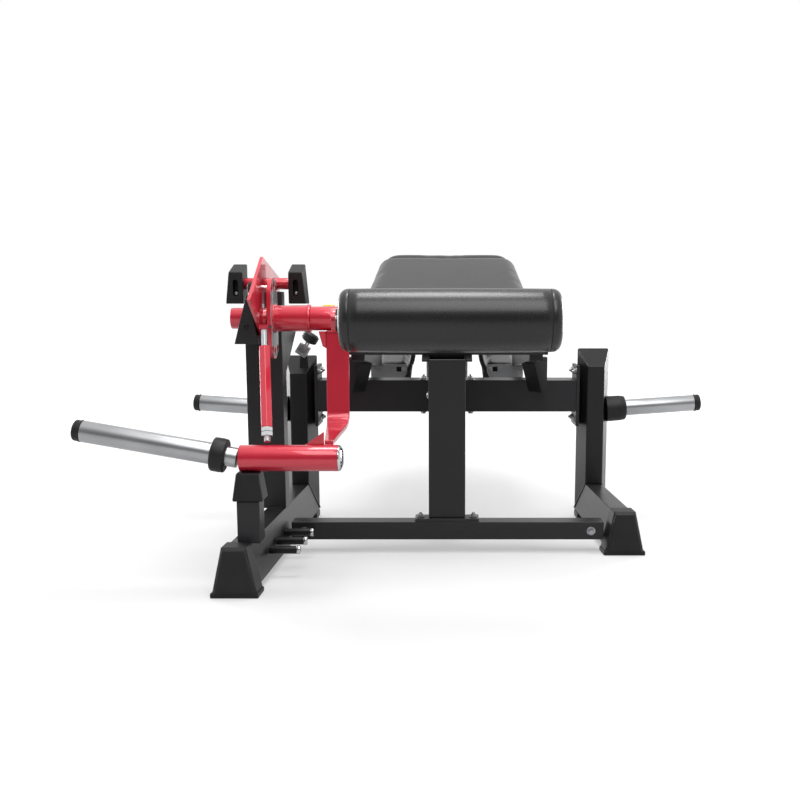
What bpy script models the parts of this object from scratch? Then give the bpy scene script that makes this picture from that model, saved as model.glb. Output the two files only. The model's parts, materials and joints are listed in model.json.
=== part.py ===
"""Prone hamstring machine: plate-loaded leg curl with an angled bench.

Run with: blender --background --python part.py
Metres, +Z up. -Y is the foot end, +Y the head end, X runs across.
While it is built, X = 0 is the mid-plane of the bench and Z = 0 the floor.
At the end everything is moved so that the box of the whole machine is centred in X and Y.
"""

import math

import bmesh
import bpy
from mathutils import Matrix, Vector

GAP = 0.0003            # clearance between touching pieces
WALL = 0.004            # wall of the frame tubes
PLATE = 0.010           # thick steel plate
CUT_REACH = 0.050       # how far a cutter starts and ends clear of what it cuts

# frame tube: a trapezoid, narrow on its outer face
TUBE_NARROW = 0.052
TUBE_WIDE = 0.100
LEG_HEIGHT = 0.095
LEG_LIFT = 0.020        # floor to the underside of a leg
UPRIGHT_DEPTH = 0.075
UPRIGHT_FRONT_Y = 0.440
UPRIGHT_FRONT_Z = 0.487
UPRIGHT_BACK_Z = 0.540
LEFT_UPRIGHT_DROP = 0.023
UPRIGHT_X = 0.458
RIGHT_FOOT_X = 0.484
RIGHT_FOOT_Y = 0.015
LEFT_FOOT_X = 0.497
LEFT_FOOT_Y = -0.362
CAP_THICK = 0.006

# rubber feet
BOOT_HEIGHT = 0.120
BOOT_DEPTH = 0.062
BOOT_WALL = 0.0035
BOOT_LIP = 0.012
BOOT_LIP_OUT = 0.003

# cross members
BEAM_HEIGHT = 0.098
BEAM_DEPTH = 0.110
BEAM_Z = 0.345
BEAM_PLATE_HEIGHT = 0.190
BASE_TUBE_HEIGHT = 0.049
BASE_TUBE_DEPTH = 0.056
BASE_TUBE_Z = 0.038
BASE_TUBE_Y = 0.042
BASE_TUBE_EASE = 0.002  # room for the splay of the legs at each end

# centre post and spine
POST_WIDTH = 0.100
POST_DEPTH = 0.056
POST_FLANGE_WIDTH = 0.175
POST_FLANGE_THICK = 0.009
SPINE_WIDTH = 0.080
SPINE_HEIGHT = 0.060
SPINE_BACK_Y = 1.080

# bench: widest at the knees, narrower at the hips and at the head
BENCH_NEAR_Y = 0.045
BENCH_NEAR_Z = 0.626
BENCH_KNEE_WIDTH = 0.544
BENCH_HIP_WIDTH = 0.450
BENCH_HEAD_WIDTH = 0.300
THIGH_LENGTH = 0.620
THIGH_SLOPE = 19.6
TORSO_LENGTH = 0.540
TORSO_SLOPE = -14.0
PAD_THICK = 0.070
BOARD_THICK = 0.022
BOARD_PROUD = 0.003     # how far a board stands out past the sides of its pad
BOARD_RIM = 0.006       # how far a board stops short of its pad's end
BOARD_HIP_RIM = 0.030
HIP_GAP = 0.006
HIP_SINK = 0.0238        # how far along the thigh pad's line the torso pad starts past the gap
PAD_SHOULDER = 0.046
PAD_CROWN = 0.006
PAD_DRAW = 0.22         # how much of its shoulder a pad draws in at its foot
HEAD_STRUT_WIDTH = 0.060
HEAD_STRUT_SHARE = 0.45 # how far along the torso pad the strut stands

# side rails under the bench, falling towards the elbow pads, with a leg to the beam
RAIL_INNER_X = 0.225
RAIL_OUTER_X = 0.262
RAIL_NEAR_Y = 0.100
RAIL_NEAR_Z = 0.525     # underside at the near end
RAIL_FALL = 5.15
RAIL_HEIGHT = 0.045
RAIL_FOOT = 0.024
BRACKET_OUTER_X = 0.3055
BRACKET_DEPTH = 0.045
BRACKET_LOW_Z = 0.409
BRACKET_CHAMFER = 0.45  # share of the leg's width that its front face gives up
BRACKET_LEAN = 0.35     # share that its inner edge leans in by at its foot
RISER_Y = 0.455
RISER_DEPTH = 0.050

# elbow pads and handles at the head end
ELBOW_INNER_X = 0.126
ELBOW_OUTER_X = 0.250
ELBOW_NEAR_Y = 0.800
ELBOW_NEAR_Z = 0.464
ELBOW_SLOPE = 12.0
ELBOW_LENGTH = 0.260
ELBOW_THICK = 0.045
ELBOW_SHOULDER = 0.020
ELBOW_CROWN = 0.003
SHELF_THICK = 0.008
SHELF_SHARE = 0.80      # how much of an elbow pad its shelf backs
HANDLE_RADIUS = 0.0125
HANDLE_WIDTH = 0.126
HANDLE_BEND = 0.040
HANDLE_RISE = 0.190
HANDLE_CLAMP_HEIGHT = 0.040
HANDLE_CLAMP_DEPTH = 0.060
HANDLE_CLAMP_WIDTH = 0.120

# storage horns
STORE_Y = 0.475
STORE_Z = 0.350
STORE_RADIUS = 0.025
STORE_LENGTH = 0.276
STORE_TILT = 4.0
SPACER_RADIUS = 0.040
SPACER_LENGTH = 0.062
SPACER_SINK = 0.016     # how far the spacer's foot reaches in over the upright's sloping side
HORN_CAP_RADIUS = 0.0268
HORN_CAP_LENGTH = 0.020

# knee axle and what turns on it
AXLE_Y = -0.019
AXLE_Z = 0.642
AXLE_RADIUS = 0.015
HOUSING_RADIUS = 0.027
HOUSING_BORE = 0.0215
HOUSING_LEFT_X = -0.557
HOUSING_RIGHT_X = -0.463
BEARING_LENGTH = 0.016
RUNNING = 0.0004        # radial clearance of a turning fit
HOLE_PLATE_X = -0.457
HOLE_PLATE_WIDTH = 0.100
HOLE_PLATE_HEIGHT = 0.208
HOLE_PLATE_HOLE = 0.0085
HOLE_INSET = 0.020
HOLE_SPREAD = 22
HUB_RADIUS = 0.0335
HUB_RIGHT_X = -0.360
COLLAR_RADIUS = 0.036
COLLAR_LENGTH = 0.008
ARM_TUBE_RADIUS = 0.031
ARM_TUBE_RIGHT_X = -0.2525

# left column, bearing block, head plate, stops
COLUMN_WIDTH = 0.100
COLUMN_DEPTH = 0.060
COLUMN_X = -0.498
COLUMN_Y = 0.090
COLUMN_TOP_Z = 0.640
BLOCK_LEFT_X = -0.541
BLOCK_RIGHT_X = -0.4805
BLOCK_FRONT_Y = -0.075
BLOCK_LOW_Z = 0.578
BLOCK_TOP_Z = 0.700
BLOCK_TOP_WIDTH = 0.008
BLOCK_TOP_SHIFT = 0.007 # its top lies towards the head plate
BLOCK_BOLT_RISE = 0.045
HEAD_PLATE_THICK = 0.008
HEAD_APEX_Z = 0.799
HEAD_FRONT_Y = -0.200
HEAD_FRONT_Z = 0.690
HEAD_LOW_Z = 0.600
HEAD_LOW_HALF = 0.030
HEAD_BACK_Y = 0.215
HEAD_BACK_LOW_Z = 0.710
HEAD_BACK_TOP_Z = 0.752
STOP_Y = 0.174
STOP_Z = 0.734
STOP_TUBE_RADIUS = 0.016
STOP_TUBE_LENGTH = 0.124
STOP_BLOCK_WIDTH = 0.048
STOP_BLOCK_HEIGHT = 0.110
STOP_BLOCK_DEPTH = 0.070
STOP_BLOCK_SLOPE = 0.024 # how far its top falls towards the foot end
STOP_BLOCK_TAPER = 0.0095

# weight arm
LOWER_Y = -0.268
LOWER_Z = 0.317
LOWER_RADIUS = 0.0315
LOWER_LEFT_X = -0.4925
LOWER_RIGHT_X = -0.258
LOWER_CAP_LENGTH = 0.011
ARM_PLATE_LEFT_X = -0.312
ARM_PLATE_RIGHT_X = -0.2535
ARM_PLATE_THICK = 0.012
ARM_PLATE_BEND_Z = 0.371
ARM_PLATE_BEND_RISE = 0.035 # where the bend starts above its corner
ARM_PLATE_LEAN = 0.016  # how far the corner lies in front of the top
ARM_PLATE_FOOT_EASE = 0.0015
ARM_PLATE_NARROWING = 0.019 # what each of its edges gives up from the bend to its foot
HORN_TILT = 10.0
HORN_NECK_RADIUS = 0.024
HORN_NECK_LENGTH = 0.026
HORN_RADIUS = 0.0262
HORN_SLEEVE_LENGTH = 0.310
HORN_COLLAR_RADIUS = 0.041
HORN_COLLAR_LENGTH = 0.036
TURNBUCKLE_RADIUS = 0.0150
TURNBUCKLE_TOP_X = -0.4565
TURNBUCKLE_TOP_Y = -0.115
TURNBUCKLE_TOP_Z = 0.618
TURNBUCKLE_FOOT_X = -0.4270
TURNBUCKLE_ROD = 0.0075
TURNBUCKLE_NUT = 0.010
TURNBUCKLE_BODY_START = 0.17 # shares of the whole length
TURNBUCKLE_BODY_END = 0.885
LUG_MARGIN = 0.010

# roller arm and roller
ROLLER_Y = -0.405
ROLLER_Z = 0.645
ROLLER_RADIUS = 0.070
ROLLER_LEFT_X = -0.2345
ROLLER_LENGTH = 0.484
ROLLER_BORE = 0.0125
ROLLER_RIM = 0.020
SPINDLE_RADIUS = 0.0115
ROLLER_ARM_X = -0.252
ROLLER_ARM_THICK = 0.010
ROLLER_ARM_HEIGHT = 0.050
ROLLER_BOSS_RADIUS = 0.029
AXLE_PROUD = 0.003      # the axle's end past the roller arm
SPINDLE_SHORT = 0.004   # the spindle's end inside the roller

# bumper and band pegs
BUMPER_X = -0.4715
BUMPER_WIDTH = 0.054
BUMPER_DEPTH = 0.060
BUMPER_CAP_HEIGHT = 0.068
BUMPER_CAP_FLARE = 0.010
PEG_YS = (-0.177, -0.087, 0.006)
PEG_Z = 0.068
PEG_RADIUS = 0.0100
PEG_LENGTH = 0.070
PEG_END_LENGTH = 0.009
PEG_STANDOFF = 0.001

# fasteners
BOLT_RADIUS = 0.0095
BOLT_HEAD = 0.0075
PIN_RADIUS = 0.0075
PIN_KNOB_RADIUS = 0.017
PIN_KNOB_LENGTH = 0.036
PIN_STANDOFF = 0.004    # knob to the head plate
PIN_KNOB_EASE = 0.005   # chamfer of both ends of the knob

X_AXIS = Vector((1, 0, 0))
Y_AXIS = Vector((0, 1, 0))
Z_AXIS = Vector((0, 0, 1))

UPRIGHT_BACK_Y = UPRIGHT_FRONT_Y + UPRIGHT_DEPTH
LEG_TOP = LEG_LIFT + LEG_HEIGHT
AXLE = Vector((0, AXLE_Y, AXLE_Z))
SPINE_Z = BEAM_Z - SPINE_HEIGHT - GAP
POST_SHIFT = 0.012      # the post stands behind the flange's front edge

built = []


def material(name, colour, roughness, metallic):
    shader = bpy.data.materials.new(name)
    shader.use_nodes = True
    principled = shader.node_tree.nodes["Principled BSDF"]
    principled.inputs["Base Color"].default_value = (*colour, 1)
    principled.inputs["Roughness"].default_value = roughness
    principled.inputs["Metallic"].default_value = metallic
    return shader


FINISHES = {
    "frame": ((0.030, 0.030, 0.032), 0.45, 0.0),
    "red": ((0.620, 0.020, 0.045), 0.25, 0.4),
    "chrome": ((0.750, 0.750, 0.760), 0.15, 1.0),
    "steel": ((0.620, 0.620, 0.630), 0.32, 1.0),
    "rubber": ((0.020, 0.020, 0.021), 0.75, 0.0),
    "vinyl": ((0.045, 0.045, 0.047), 0.42, 0.0),
    "board": ((0.015, 0.015, 0.016), 0.60, 0.0),
}


def add_box(bm, low, high):
    low = Vector(low)
    high = Vector(high)
    size = high - low
    place = Matrix.Translation((low + high) / 2) @ Matrix.Diagonal((*size, 1))
    return bmesh.ops.create_cube(bm, size=1, matrix=place)["verts"]


def add_prism(bm, outline, travel, bore=None):
    """Extrude an outline along travel. A bore with as many corners makes it a tube."""
    outer = [bm.verts.new(point) for point in outline]
    if bore is None:
        faces = [bm.faces.new(outer)]
    else:
        inner = [bm.verts.new(point) for point in bore]
        count = len(outer)
        faces = []
        for i in range(count):
            j = (i + 1) % count
            faces.append(bm.faces.new((outer[i], outer[j], inner[j], inner[i])))
    made = bmesh.ops.extrude_face_region(bm, geom=faces)["geom"]
    moved = [item for item in made if isinstance(item, bmesh.types.BMVert)]
    bmesh.ops.translate(bm, vec=Vector(travel), verts=moved)
    return moved


def add_turned(bm, start, direction, profile, segments=24):
    """Spin (along, radius) points round a line. A profile off the line closes on itself."""
    points = [bm.verts.new((radius, 0, along)) for along, radius in profile]
    edges = [bm.edges.new(pair) for pair in zip(points, points[1:])]
    if profile[0][1] > 0:
        edges.append(bm.edges.new((points[-1], points[0])))
    before = set(bm.verts) - set(points)
    bmesh.ops.spin(bm, geom=points + edges, cent=(0, 0, 0), axis=(0, 0, 1),
                   angle=math.tau, steps=segments, use_merge=True)
    turned = [vert for vert in bm.verts if vert not in before]
    bmesh.ops.remove_doubles(bm, verts=turned, dist=1e-6)
    turned = [vert for vert in bm.verts if vert not in before]
    turn = Vector(direction).to_track_quat("Z", "Y").to_matrix().to_4x4()
    bmesh.ops.transform(bm, matrix=Matrix.Translation(start) @ turn, verts=turned)


def add_rod(bm, start, end, radius, bore=0.0, segments=24):
    start = Vector(start)
    end = Vector(end)
    length = (end - start).length
    if bore > 0:
        profile = [(0, radius), (length, radius), (length, bore), (0, bore)]
    else:
        profile = [(0, 0), (0, radius), (length, radius), (length, 0)]
    add_turned(bm, start, end - start, profile, segments)


def add_bolt(bm, at, out):
    """A hexagon head on a washer, its underside a gap clear of the face."""
    out = Vector(out)
    washer = BOLT_RADIUS * 1.25
    step = BOLT_HEAD * 0.25
    profile = [(0, 0), (0, washer), (step, washer), (step, BOLT_RADIUS), (BOLT_HEAD, BOLT_RADIUS),
               (BOLT_HEAD, 0)]
    add_turned(bm, Vector(at) + out * GAP, out, profile, segments=6)


def finish(bm, name, finish_name, origin=(0, 0, 0), smooth=False):
    bmesh.ops.remove_doubles(bm, verts=bm.verts, dist=1e-6)
    bmesh.ops.recalc_face_normals(bm, faces=bm.faces)
    bmesh.ops.translate(bm, vec=-Vector(origin), verts=bm.verts)
    mesh = bpy.data.meshes.new(name)
    bm.to_mesh(mesh)
    bm.free()
    if smooth:
        mesh.shade_smooth()
        mesh.set_sharp_from_angle(angle=math.radians(35))
    piece = bpy.data.objects.new(name, mesh)
    piece.location = Vector(origin)
    mesh.materials.append(material(name + "_" + finish_name, *FINISHES[finish_name]))
    bpy.context.scene.collection.objects.link(piece)
    built.append(piece)
    return piece


def cut(piece, bm, operation="DIFFERENCE"):
    """Take the bm's shapes out of the piece, or join them to it."""
    bmesh.ops.recalc_face_normals(bm, faces=bm.faces)
    bmesh.ops.translate(bm, vec=-piece.location, verts=bm.verts)
    mesh = bpy.data.meshes.new(piece.name + "_cutter")
    bm.to_mesh(mesh)
    bm.free()
    cutter = bpy.data.objects.new(piece.name + "_cutter", mesh)
    cutter.parent = piece
    cutter.hide_render = True
    cutter.display_type = "WIRE"
    bpy.context.scene.collection.objects.link(cutter)
    modifier = piece.modifiers.new("shape", "BOOLEAN")
    modifier.object = cutter
    modifier.operation = operation
    modifier.solver = "EXACT"


def section_half_width(share):
    """Half the width of the frame tube, 0 at its wide face and 1 at its narrow face."""
    return (TUBE_WIDE + (TUBE_NARROW - TUBE_WIDE) * share) / 2


def leg_x(side, y):
    """The middle of a leg, which splays outwards towards its foot."""
    foot_x, foot_y = (RIGHT_FOOT_X, RIGHT_FOOT_Y) if side > 0 else (LEFT_FOOT_X, LEFT_FOOT_Y)
    share = (UPRIGHT_BACK_Y - y) / (UPRIGHT_BACK_Y - foot_y)
    return side * (UPRIGHT_X + (foot_x - UPRIGHT_X) * share)


def leg_ring(side, inset):
    """Four corners of a leg's section as (across, height), wide face down."""
    low = section_half_width(inset / LEG_HEIGHT) - inset
    high = section_half_width(1 - inset / LEG_HEIGHT) - inset
    bottom = LEG_LIFT + inset
    top = LEG_TOP - inset
    return [(-low, bottom), (low, bottom), (high, top), (-high, top)]


def make_leg(side, name):
    """From inside the boot back to the mitre with the upright."""
    foot_y = (RIGHT_FOOT_Y if side > 0 else LEFT_FOOT_Y) + BOOT_WALL + GAP
    rings = []
    for inset in (0, WALL):
        ring = [(leg_x(side, foot_y) + across, foot_y, height) for across, height in leg_ring(side, inset)]
        rings.append(ring)
    bm = bmesh.new()
    moved = add_prism(bm, rings[0], (0, UPRIGHT_FRONT_Y - foot_y, 0), rings[1])
    drift = leg_x(side, UPRIGHT_FRONT_Y) - leg_x(side, foot_y)
    for vert in moved:
        share = (LEG_TOP - vert.co.z) / LEG_HEIGHT
        vert.co.y += UPRIGHT_DEPTH * share - GAP
        vert.co.x += drift
    finish(bm, name, "frame")


def upright_ring(middle, inset):
    """Four corners of an upright's section seen from above."""
    back = section_half_width(inset / UPRIGHT_DEPTH) - inset
    front = section_half_width(1 - inset / UPRIGHT_DEPTH) - inset
    front_y = UPRIGHT_FRONT_Y + inset
    back_y = UPRIGHT_BACK_Y - inset
    return [(middle - front, front_y, 0), (middle + front, front_y, 0),
            (middle + back, back_y, 0), (middle - back, back_y, 0)]


def make_upright(side, name):
    """From the mitre up to its sloping top, hollow from below under a closed cap."""
    middle = leg_x(side, UPRIGHT_FRONT_Y)
    top_z = UPRIGHT_FRONT_Z - (LEFT_UPRIGHT_DROP if side < 0 else 0)
    shapes = []
    for inset, cap, foot in ((0, 0, GAP), (WALL, CAP_THICK, -WALL)):
        bm = bmesh.new()
        top = set(add_prism(bm, upright_ring(middle, inset), (0, 0, 1)))
        for vert in bm.verts:
            share = (vert.co.y - UPRIGHT_FRONT_Y) / UPRIGHT_DEPTH
            if vert in top:
                vert.co.z = top_z + (UPRIGHT_BACK_Z - UPRIGHT_FRONT_Z) * share - cap
            else:
                vert.co.z = LEG_TOP - LEG_HEIGHT * share + foot
        shapes.append(bm)
    upright = finish(shapes[0], name, "frame")
    cut(upright, shapes[1])


def make_boot(side, name):
    """Rubber boot over the front end of a leg: flared, with a lip at its foot."""
    foot_y = RIGHT_FOOT_Y if side > 0 else LEFT_FOOT_Y
    middle = leg_x(side, foot_y)
    low = TUBE_WIDE / 2 + BOOT_WALL
    high = TUBE_NARROW / 2 + BOOT_WALL
    skew = leg_x(side, foot_y + BOOT_DEPTH) - middle
    bm = bmesh.new()
    lip = low + BOOT_LIP_OUT
    outline = [(middle - lip, foot_y, 0), (middle + lip, foot_y, 0), (middle + lip, foot_y, BOOT_LIP),
               (middle + low, foot_y, BOOT_LIP), (middle + high, foot_y, BOOT_HEIGHT),
               (middle - high, foot_y, BOOT_HEIGHT), (middle - low, foot_y, BOOT_LIP),
               (middle - lip, foot_y, BOOT_LIP)]
    moved = add_prism(bm, outline, (0, BOOT_DEPTH, 0))
    for vert in moved:
        vert.co.x += skew
    boot = finish(bm, name, "rubber")
    inner = bmesh.new()
    start_y = foot_y + BOOT_WALL
    pocket = []
    slack = GAP * 2
    for across, height in leg_ring(side, 0):
        pocket.append((leg_x(side, start_y) + across + math.copysign(slack, across), start_y,
                       height + (slack if height > LEG_LIFT else -GAP)))
    end_y = foot_y + BOOT_DEPTH * 1.5
    deep = add_prism(inner, pocket, (0, end_y - start_y, 0))
    for vert in deep:
        vert.co.x += leg_x(side, end_y) - leg_x(side, start_y)
    cut(boot, inner)


def make_rear_foot(side, name):
    middle = leg_x(side, UPRIGHT_FRONT_Y)
    half = TUBE_WIDE / 2
    bm = bmesh.new()
    add_box(bm, (middle - half, UPRIGHT_FRONT_Y, 0), (middle + half, UPRIGHT_BACK_Y, LEG_LIFT - GAP))
    finish(bm, name, "rubber")


def add_box_tube(bm, low, high, along):
    """A box tube with open ends. along is the index of its long axis."""
    low = Vector(low)
    high = Vector(high)
    a, b = [axis for axis in range(3) if axis != along]
    rings = []
    for inset in (0, WALL):
        ring = []
        for pick_a, pick_b in ((0, 0), (1, 0), (1, 1), (0, 1)):
            point = low.copy()
            point[a] = (high[a] - inset) if pick_a else (low[a] + inset)
            point[b] = (high[b] - inset) if pick_b else (low[b] + inset)
            ring.append(point)
        rings.append(ring)
    travel = Vector((0, 0, 0))
    travel[along] = high[along] - low[along]
    add_prism(bm, rings[0], travel, rings[1])


def beam_end(side):
    """X where the plates on the beam's ends meet the back corners of the uprights."""
    return leg_x(side, UPRIGHT_FRONT_Y) - side * (TUBE_WIDE / 2 + GAP)


def make_cross_members():
    bm = bmesh.new()
    back = UPRIGHT_FRONT_Y + BEAM_DEPTH
    add_box_tube(bm, (beam_end(-1) + PLATE + GAP, UPRIGHT_FRONT_Y, BEAM_Z),
                 (beam_end(1) - PLATE - GAP, back, BEAM_Z + BEAM_HEIGHT), 0)
    finish(bm, "upper_beam", "frame")
    middle_z = BEAM_Z + BEAM_HEIGHT / 2
    for side, name in ((-1, "beam_plate_left"), (1, "beam_plate_right")):
        bm = bmesh.new()
        ends = sorted((beam_end(side), beam_end(side) - side * PLATE))
        add_box(bm, (ends[0], UPRIGHT_FRONT_Y, middle_z - BEAM_PLATE_HEIGHT / 2),
                (ends[1], back, middle_z + BEAM_PLATE_HEIGHT / 2))
        finish(bm, name, "frame")
    bm = bmesh.new()
    left = leg_x(-1, BASE_TUBE_Y) + TUBE_WIDE / 2 + 2 * GAP
    right = leg_x(1, BASE_TUBE_Y) - TUBE_WIDE / 2 - 2 * GAP
    add_box_tube(bm, (left + BASE_TUBE_EASE, BASE_TUBE_Y, BASE_TUBE_Z),
                 (right - BASE_TUBE_EASE, BASE_TUBE_Y + BASE_TUBE_DEPTH, BASE_TUBE_Z + BASE_TUBE_HEIGHT), 0)
    finish(bm, "base_cross_tube", "frame")


def slope_frame(slope, y, z):
    """Local X across, local Y up the slope, local Z out of the bench, at a point of its top."""
    return Matrix.Translation((0, y, z)) @ Matrix.Rotation(math.radians(slope), 4, "X")


THIGH_FRAME = slope_frame(THIGH_SLOPE, BENCH_NEAR_Y, BENCH_NEAR_Z)
TORSO_START = THIGH_FRAME @ Vector((0, THIGH_LENGTH + HIP_GAP + HIP_SINK, 0))
TORSO_FRAME = slope_frame(TORSO_SLOPE, TORSO_START.y, TORSO_START.z)


def add_cushion(bm, low, high, shoulder, crown, frame, cuts=9, far_share=1.0):
    """A stuffed pad: rounded shoulders, a crowned top and drawn-in sides, flat underneath.

    far_share is the width of its far end against that of its near end.
    """
    cube = bmesh.ops.create_cube(bm, size=2)["verts"]
    edges = list({edge for vert in cube for edge in vert.link_edges})
    bmesh.ops.subdivide_edges(bm, edges=edges, cuts=cuts, use_grid_fill=True)
    low = Vector(low)
    high = Vector(high)
    middle = (low + high) / 2
    half = (high - low) / 2
    radius = Vector((shoulder, shoulder, half.z * 0.98))
    for vert in bm.verts:
        u, v, w = vert.co
        point = Vector((u * half.x, v * half.y, w * half.z))
        core = Vector([max(-(half[k] - radius[k]), min(half[k] - radius[k], point[k])) for k in range(3)])
        offset = Vector([(point[k] - core[k]) / radius[k] for k in range(3)])
        if w < -0.05:
            flat = Vector((offset.x, offset.y, 0))
            length = max(flat.length, max(abs(offset.x), abs(offset.y)), 1e-9)
            squeeze = max(abs(offset.x), abs(offset.y)) / length
            draw = 1 - PAD_DRAW * abs(w)
            point = core + Vector((offset.x * radius.x * squeeze * draw, offset.y * radius.y * squeeze * draw,
                                   offset.z * radius.z))
        elif offset.length > 1e-9:
            biggest = max(abs(offset.x), abs(offset.y), abs(offset.z))
            point = core + Vector([offset[k] * radius[k] * biggest / offset.length for k in range(3)])
        if w > 0.999:
            point.z += crown * (1 - u * u) * (1 - v * v)
        point.x *= 1 + (far_share - 1) * (point.y + half.y) / (2 * half.y)
        vert.co = frame @ (point + middle)


def make_bench():
    parts = (("thigh", THIGH_FRAME, THIGH_LENGTH,
              (BENCH_KNEE_WIDTH, BENCH_HIP_WIDTH), (BOARD_RIM, BOARD_HIP_RIM)),
             ("torso", TORSO_FRAME, TORSO_LENGTH,
              (BENCH_HIP_WIDTH, BENCH_HEAD_WIDTH), (BOARD_HIP_RIM, BOARD_RIM)))
    for name, frame, length, widths, rims in parts:
        near_width, far_width = widths
        near_rim, far_rim = rims
        bm = bmesh.new()
        add_cushion(bm, (-near_width / 2, 0, -PAD_THICK), (near_width / 2, length, 0),
                    PAD_SHOULDER, PAD_CROWN, frame, far_share=far_width / near_width)
        finish(bm, name + "_pad", "vinyl", smooth=True)
        bm = bmesh.new()
        low = -PAD_THICK - GAP - BOARD_THICK
        outline = []
        for side, y in ((-1, near_rim), (1, near_rim), (1, length - far_rim), (-1, length - far_rim)):
            width = near_width + (far_width - near_width) * y / length
            outline.append(frame @ Vector((side * (width / 2 + BOARD_PROUD), y, low)))
        add_prism(bm, outline, frame.to_3x3() @ Vector((0, 0, BOARD_THICK)))
        finish(bm, name + "_board", "board")


def under_thigh(y):
    """Height of the underside of the thigh board above a given Y."""
    slope = math.radians(THIGH_SLOPE)
    drop = (PAD_THICK + BOARD_THICK + 2 * GAP) / math.cos(slope)
    return BENCH_NEAR_Z + (y - BENCH_NEAR_Y) * math.tan(slope) - drop


def under_torso(y):
    slope = math.radians(TORSO_SLOPE)
    drop = (PAD_THICK + BOARD_THICK + 2 * GAP) / math.cos(slope)
    return TORSO_START.z + (y - TORSO_START.y) * math.tan(slope) - drop


def make_post():
    low_y = BASE_TUBE_Y
    high_y = BASE_TUBE_Y + POST_DEPTH
    base_top = BASE_TUBE_Z + BASE_TUBE_HEIGHT + GAP
    bm = bmesh.new()
    add_box(bm, (-POST_FLANGE_WIDTH / 2, low_y, base_top),
            (POST_FLANGE_WIDTH / 2, high_y, base_top + POST_FLANGE_THICK))
    finish(bm, "post_flange", "frame")
    bm = bmesh.new()
    add_box_tube(bm, (-POST_WIDTH / 2, low_y + POST_SHIFT, base_top + POST_FLANGE_THICK + GAP),
                 (POST_WIDTH / 2, high_y + POST_SHIFT, BENCH_NEAR_Z), 2)
    for vert in bm.verts:
        if vert.co.z > BEAM_Z:
            vert.co.z = under_thigh(vert.co.y)
    finish(bm, "centre_post", "frame")
    bm = bmesh.new()
    add_box_tube(bm, (-SPINE_WIDTH / 2, high_y + POST_SHIFT + GAP, SPINE_Z),
                 (SPINE_WIDTH / 2, SPINE_BACK_Y, SPINE_Z + SPINE_HEIGHT), 1)
    finish(bm, "spine_rail", "frame")


def under_rail(y):
    """Height of the underside of a side rail above a given Y."""
    return RAIL_NEAR_Z - (y - RAIL_NEAR_Y) * math.tan(math.radians(RAIL_FALL))


def rail_meets_board():
    """Y where a rail of full height would touch the thigh board above it."""
    rise = math.tan(math.radians(THIGH_SLOPE)) + math.tan(math.radians(RAIL_FALL))
    return RAIL_NEAR_Y + (under_rail(RAIL_NEAR_Y) + RAIL_HEIGHT - under_thigh(RAIL_NEAR_Y)) / rise


def across_prism(points, low_x, high_x, side):
    """A solid from (Y, Z) points between two distances from the mid-plane, on one side."""
    bm = bmesh.new()
    add_prism(bm, [(side * low_x, y, z) for y, z in points], (side * (high_x - low_x), 0, 0))
    return bm


ELBOW_FRAME = slope_frame(ELBOW_SLOPE, ELBOW_NEAR_Y, ELBOW_NEAR_Z)


def make_side_rail(side, name):
    """A rail under the bench with its leg to the beam, a riser to the board and the elbow pad's shelf."""
    end_y = ELBOW_NEAR_Y - 2 * GAP
    foot_y = end_y - RAIL_FOOT
    meet = rail_meets_board()
    low_z = ELBOW_NEAR_Z - ELBOW_THICK
    rail = [(RAIL_NEAR_Y, under_rail(RAIL_NEAR_Y)), (foot_y, under_rail(foot_y)), (foot_y, low_z),
            (end_y, low_z), (end_y, under_rail(end_y) + RAIL_HEIGHT), (meet, under_rail(meet) + RAIL_HEIGHT),
            (RAIL_NEAR_Y, under_thigh(RAIL_NEAR_Y))]
    piece = finish(across_prism(rail, RAIL_INNER_X, RAIL_OUTER_X, side), name, "frame")
    shelf = [(-SHELF_THICK - GAP, 0), (-GAP, 0), (-GAP, -ELBOW_THICK - GAP),
             (ELBOW_LENGTH * SHELF_SHARE, -ELBOW_THICK - GAP),
             (ELBOW_LENGTH * SHELF_SHARE, -ELBOW_THICK - GAP - SHELF_THICK),
             (-SHELF_THICK - GAP, -ELBOW_THICK - GAP - SHELF_THICK)]
    points = []
    for y, z in shelf:
        point = ELBOW_FRAME @ Vector((0, y, z))
        points.append((point.y, point.z))
    cut(piece, across_prism(points, ELBOW_INNER_X, ELBOW_OUTER_X, side), "UNION")
    sink = RAIL_HEIGHT / 2
    riser_back = RISER_Y + RISER_DEPTH
    riser = [(RISER_Y, under_rail(RISER_Y) + sink), (riser_back, under_rail(RISER_Y) + sink),
             (riser_back, under_thigh(riser_back)), (RISER_Y, under_thigh(RISER_Y))]
    inset = (RAIL_OUTER_X - RAIL_INNER_X) * 0.1
    cut(piece, across_prism(riser, RAIL_INNER_X + inset, RAIL_OUTER_X - inset, side), "UNION")
    cut(piece, bracket_leg(side), "UNION")


def bracket_leg(side):
    """The leg stands against the beam's front face, its inner edge leaning and chamfered."""
    front = UPRIGHT_FRONT_Y - GAP - BRACKET_DEPTH
    back = UPRIGHT_FRONT_Y - GAP
    top = under_rail(back) + RAIL_HEIGHT / 2
    width = BRACKET_OUTER_X - RAIL_INNER_X
    rings = []
    for y, narrow in ((front, BRACKET_CHAMFER), (back, 0.0)):
        inner_top = RAIL_INNER_X + width * narrow
        inner_low = inner_top + width * BRACKET_LEAN
        ring = [(side * inner_low, y, BRACKET_LOW_Z), (side * BRACKET_OUTER_X, y, BRACKET_LOW_Z),
                (side * BRACKET_OUTER_X, y, top), (side * inner_top, y, top)]
        rings.append(ring)
    bm = bmesh.new()
    corners = [[bm.verts.new(point) for point in ring] for ring in rings]
    for ring in corners:
        bm.faces.new(ring)
    for i in range(4):
        j = (i + 1) % 4
        bm.faces.new((corners[0][i], corners[0][j], corners[1][j], corners[1][i]))
    return bm


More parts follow.
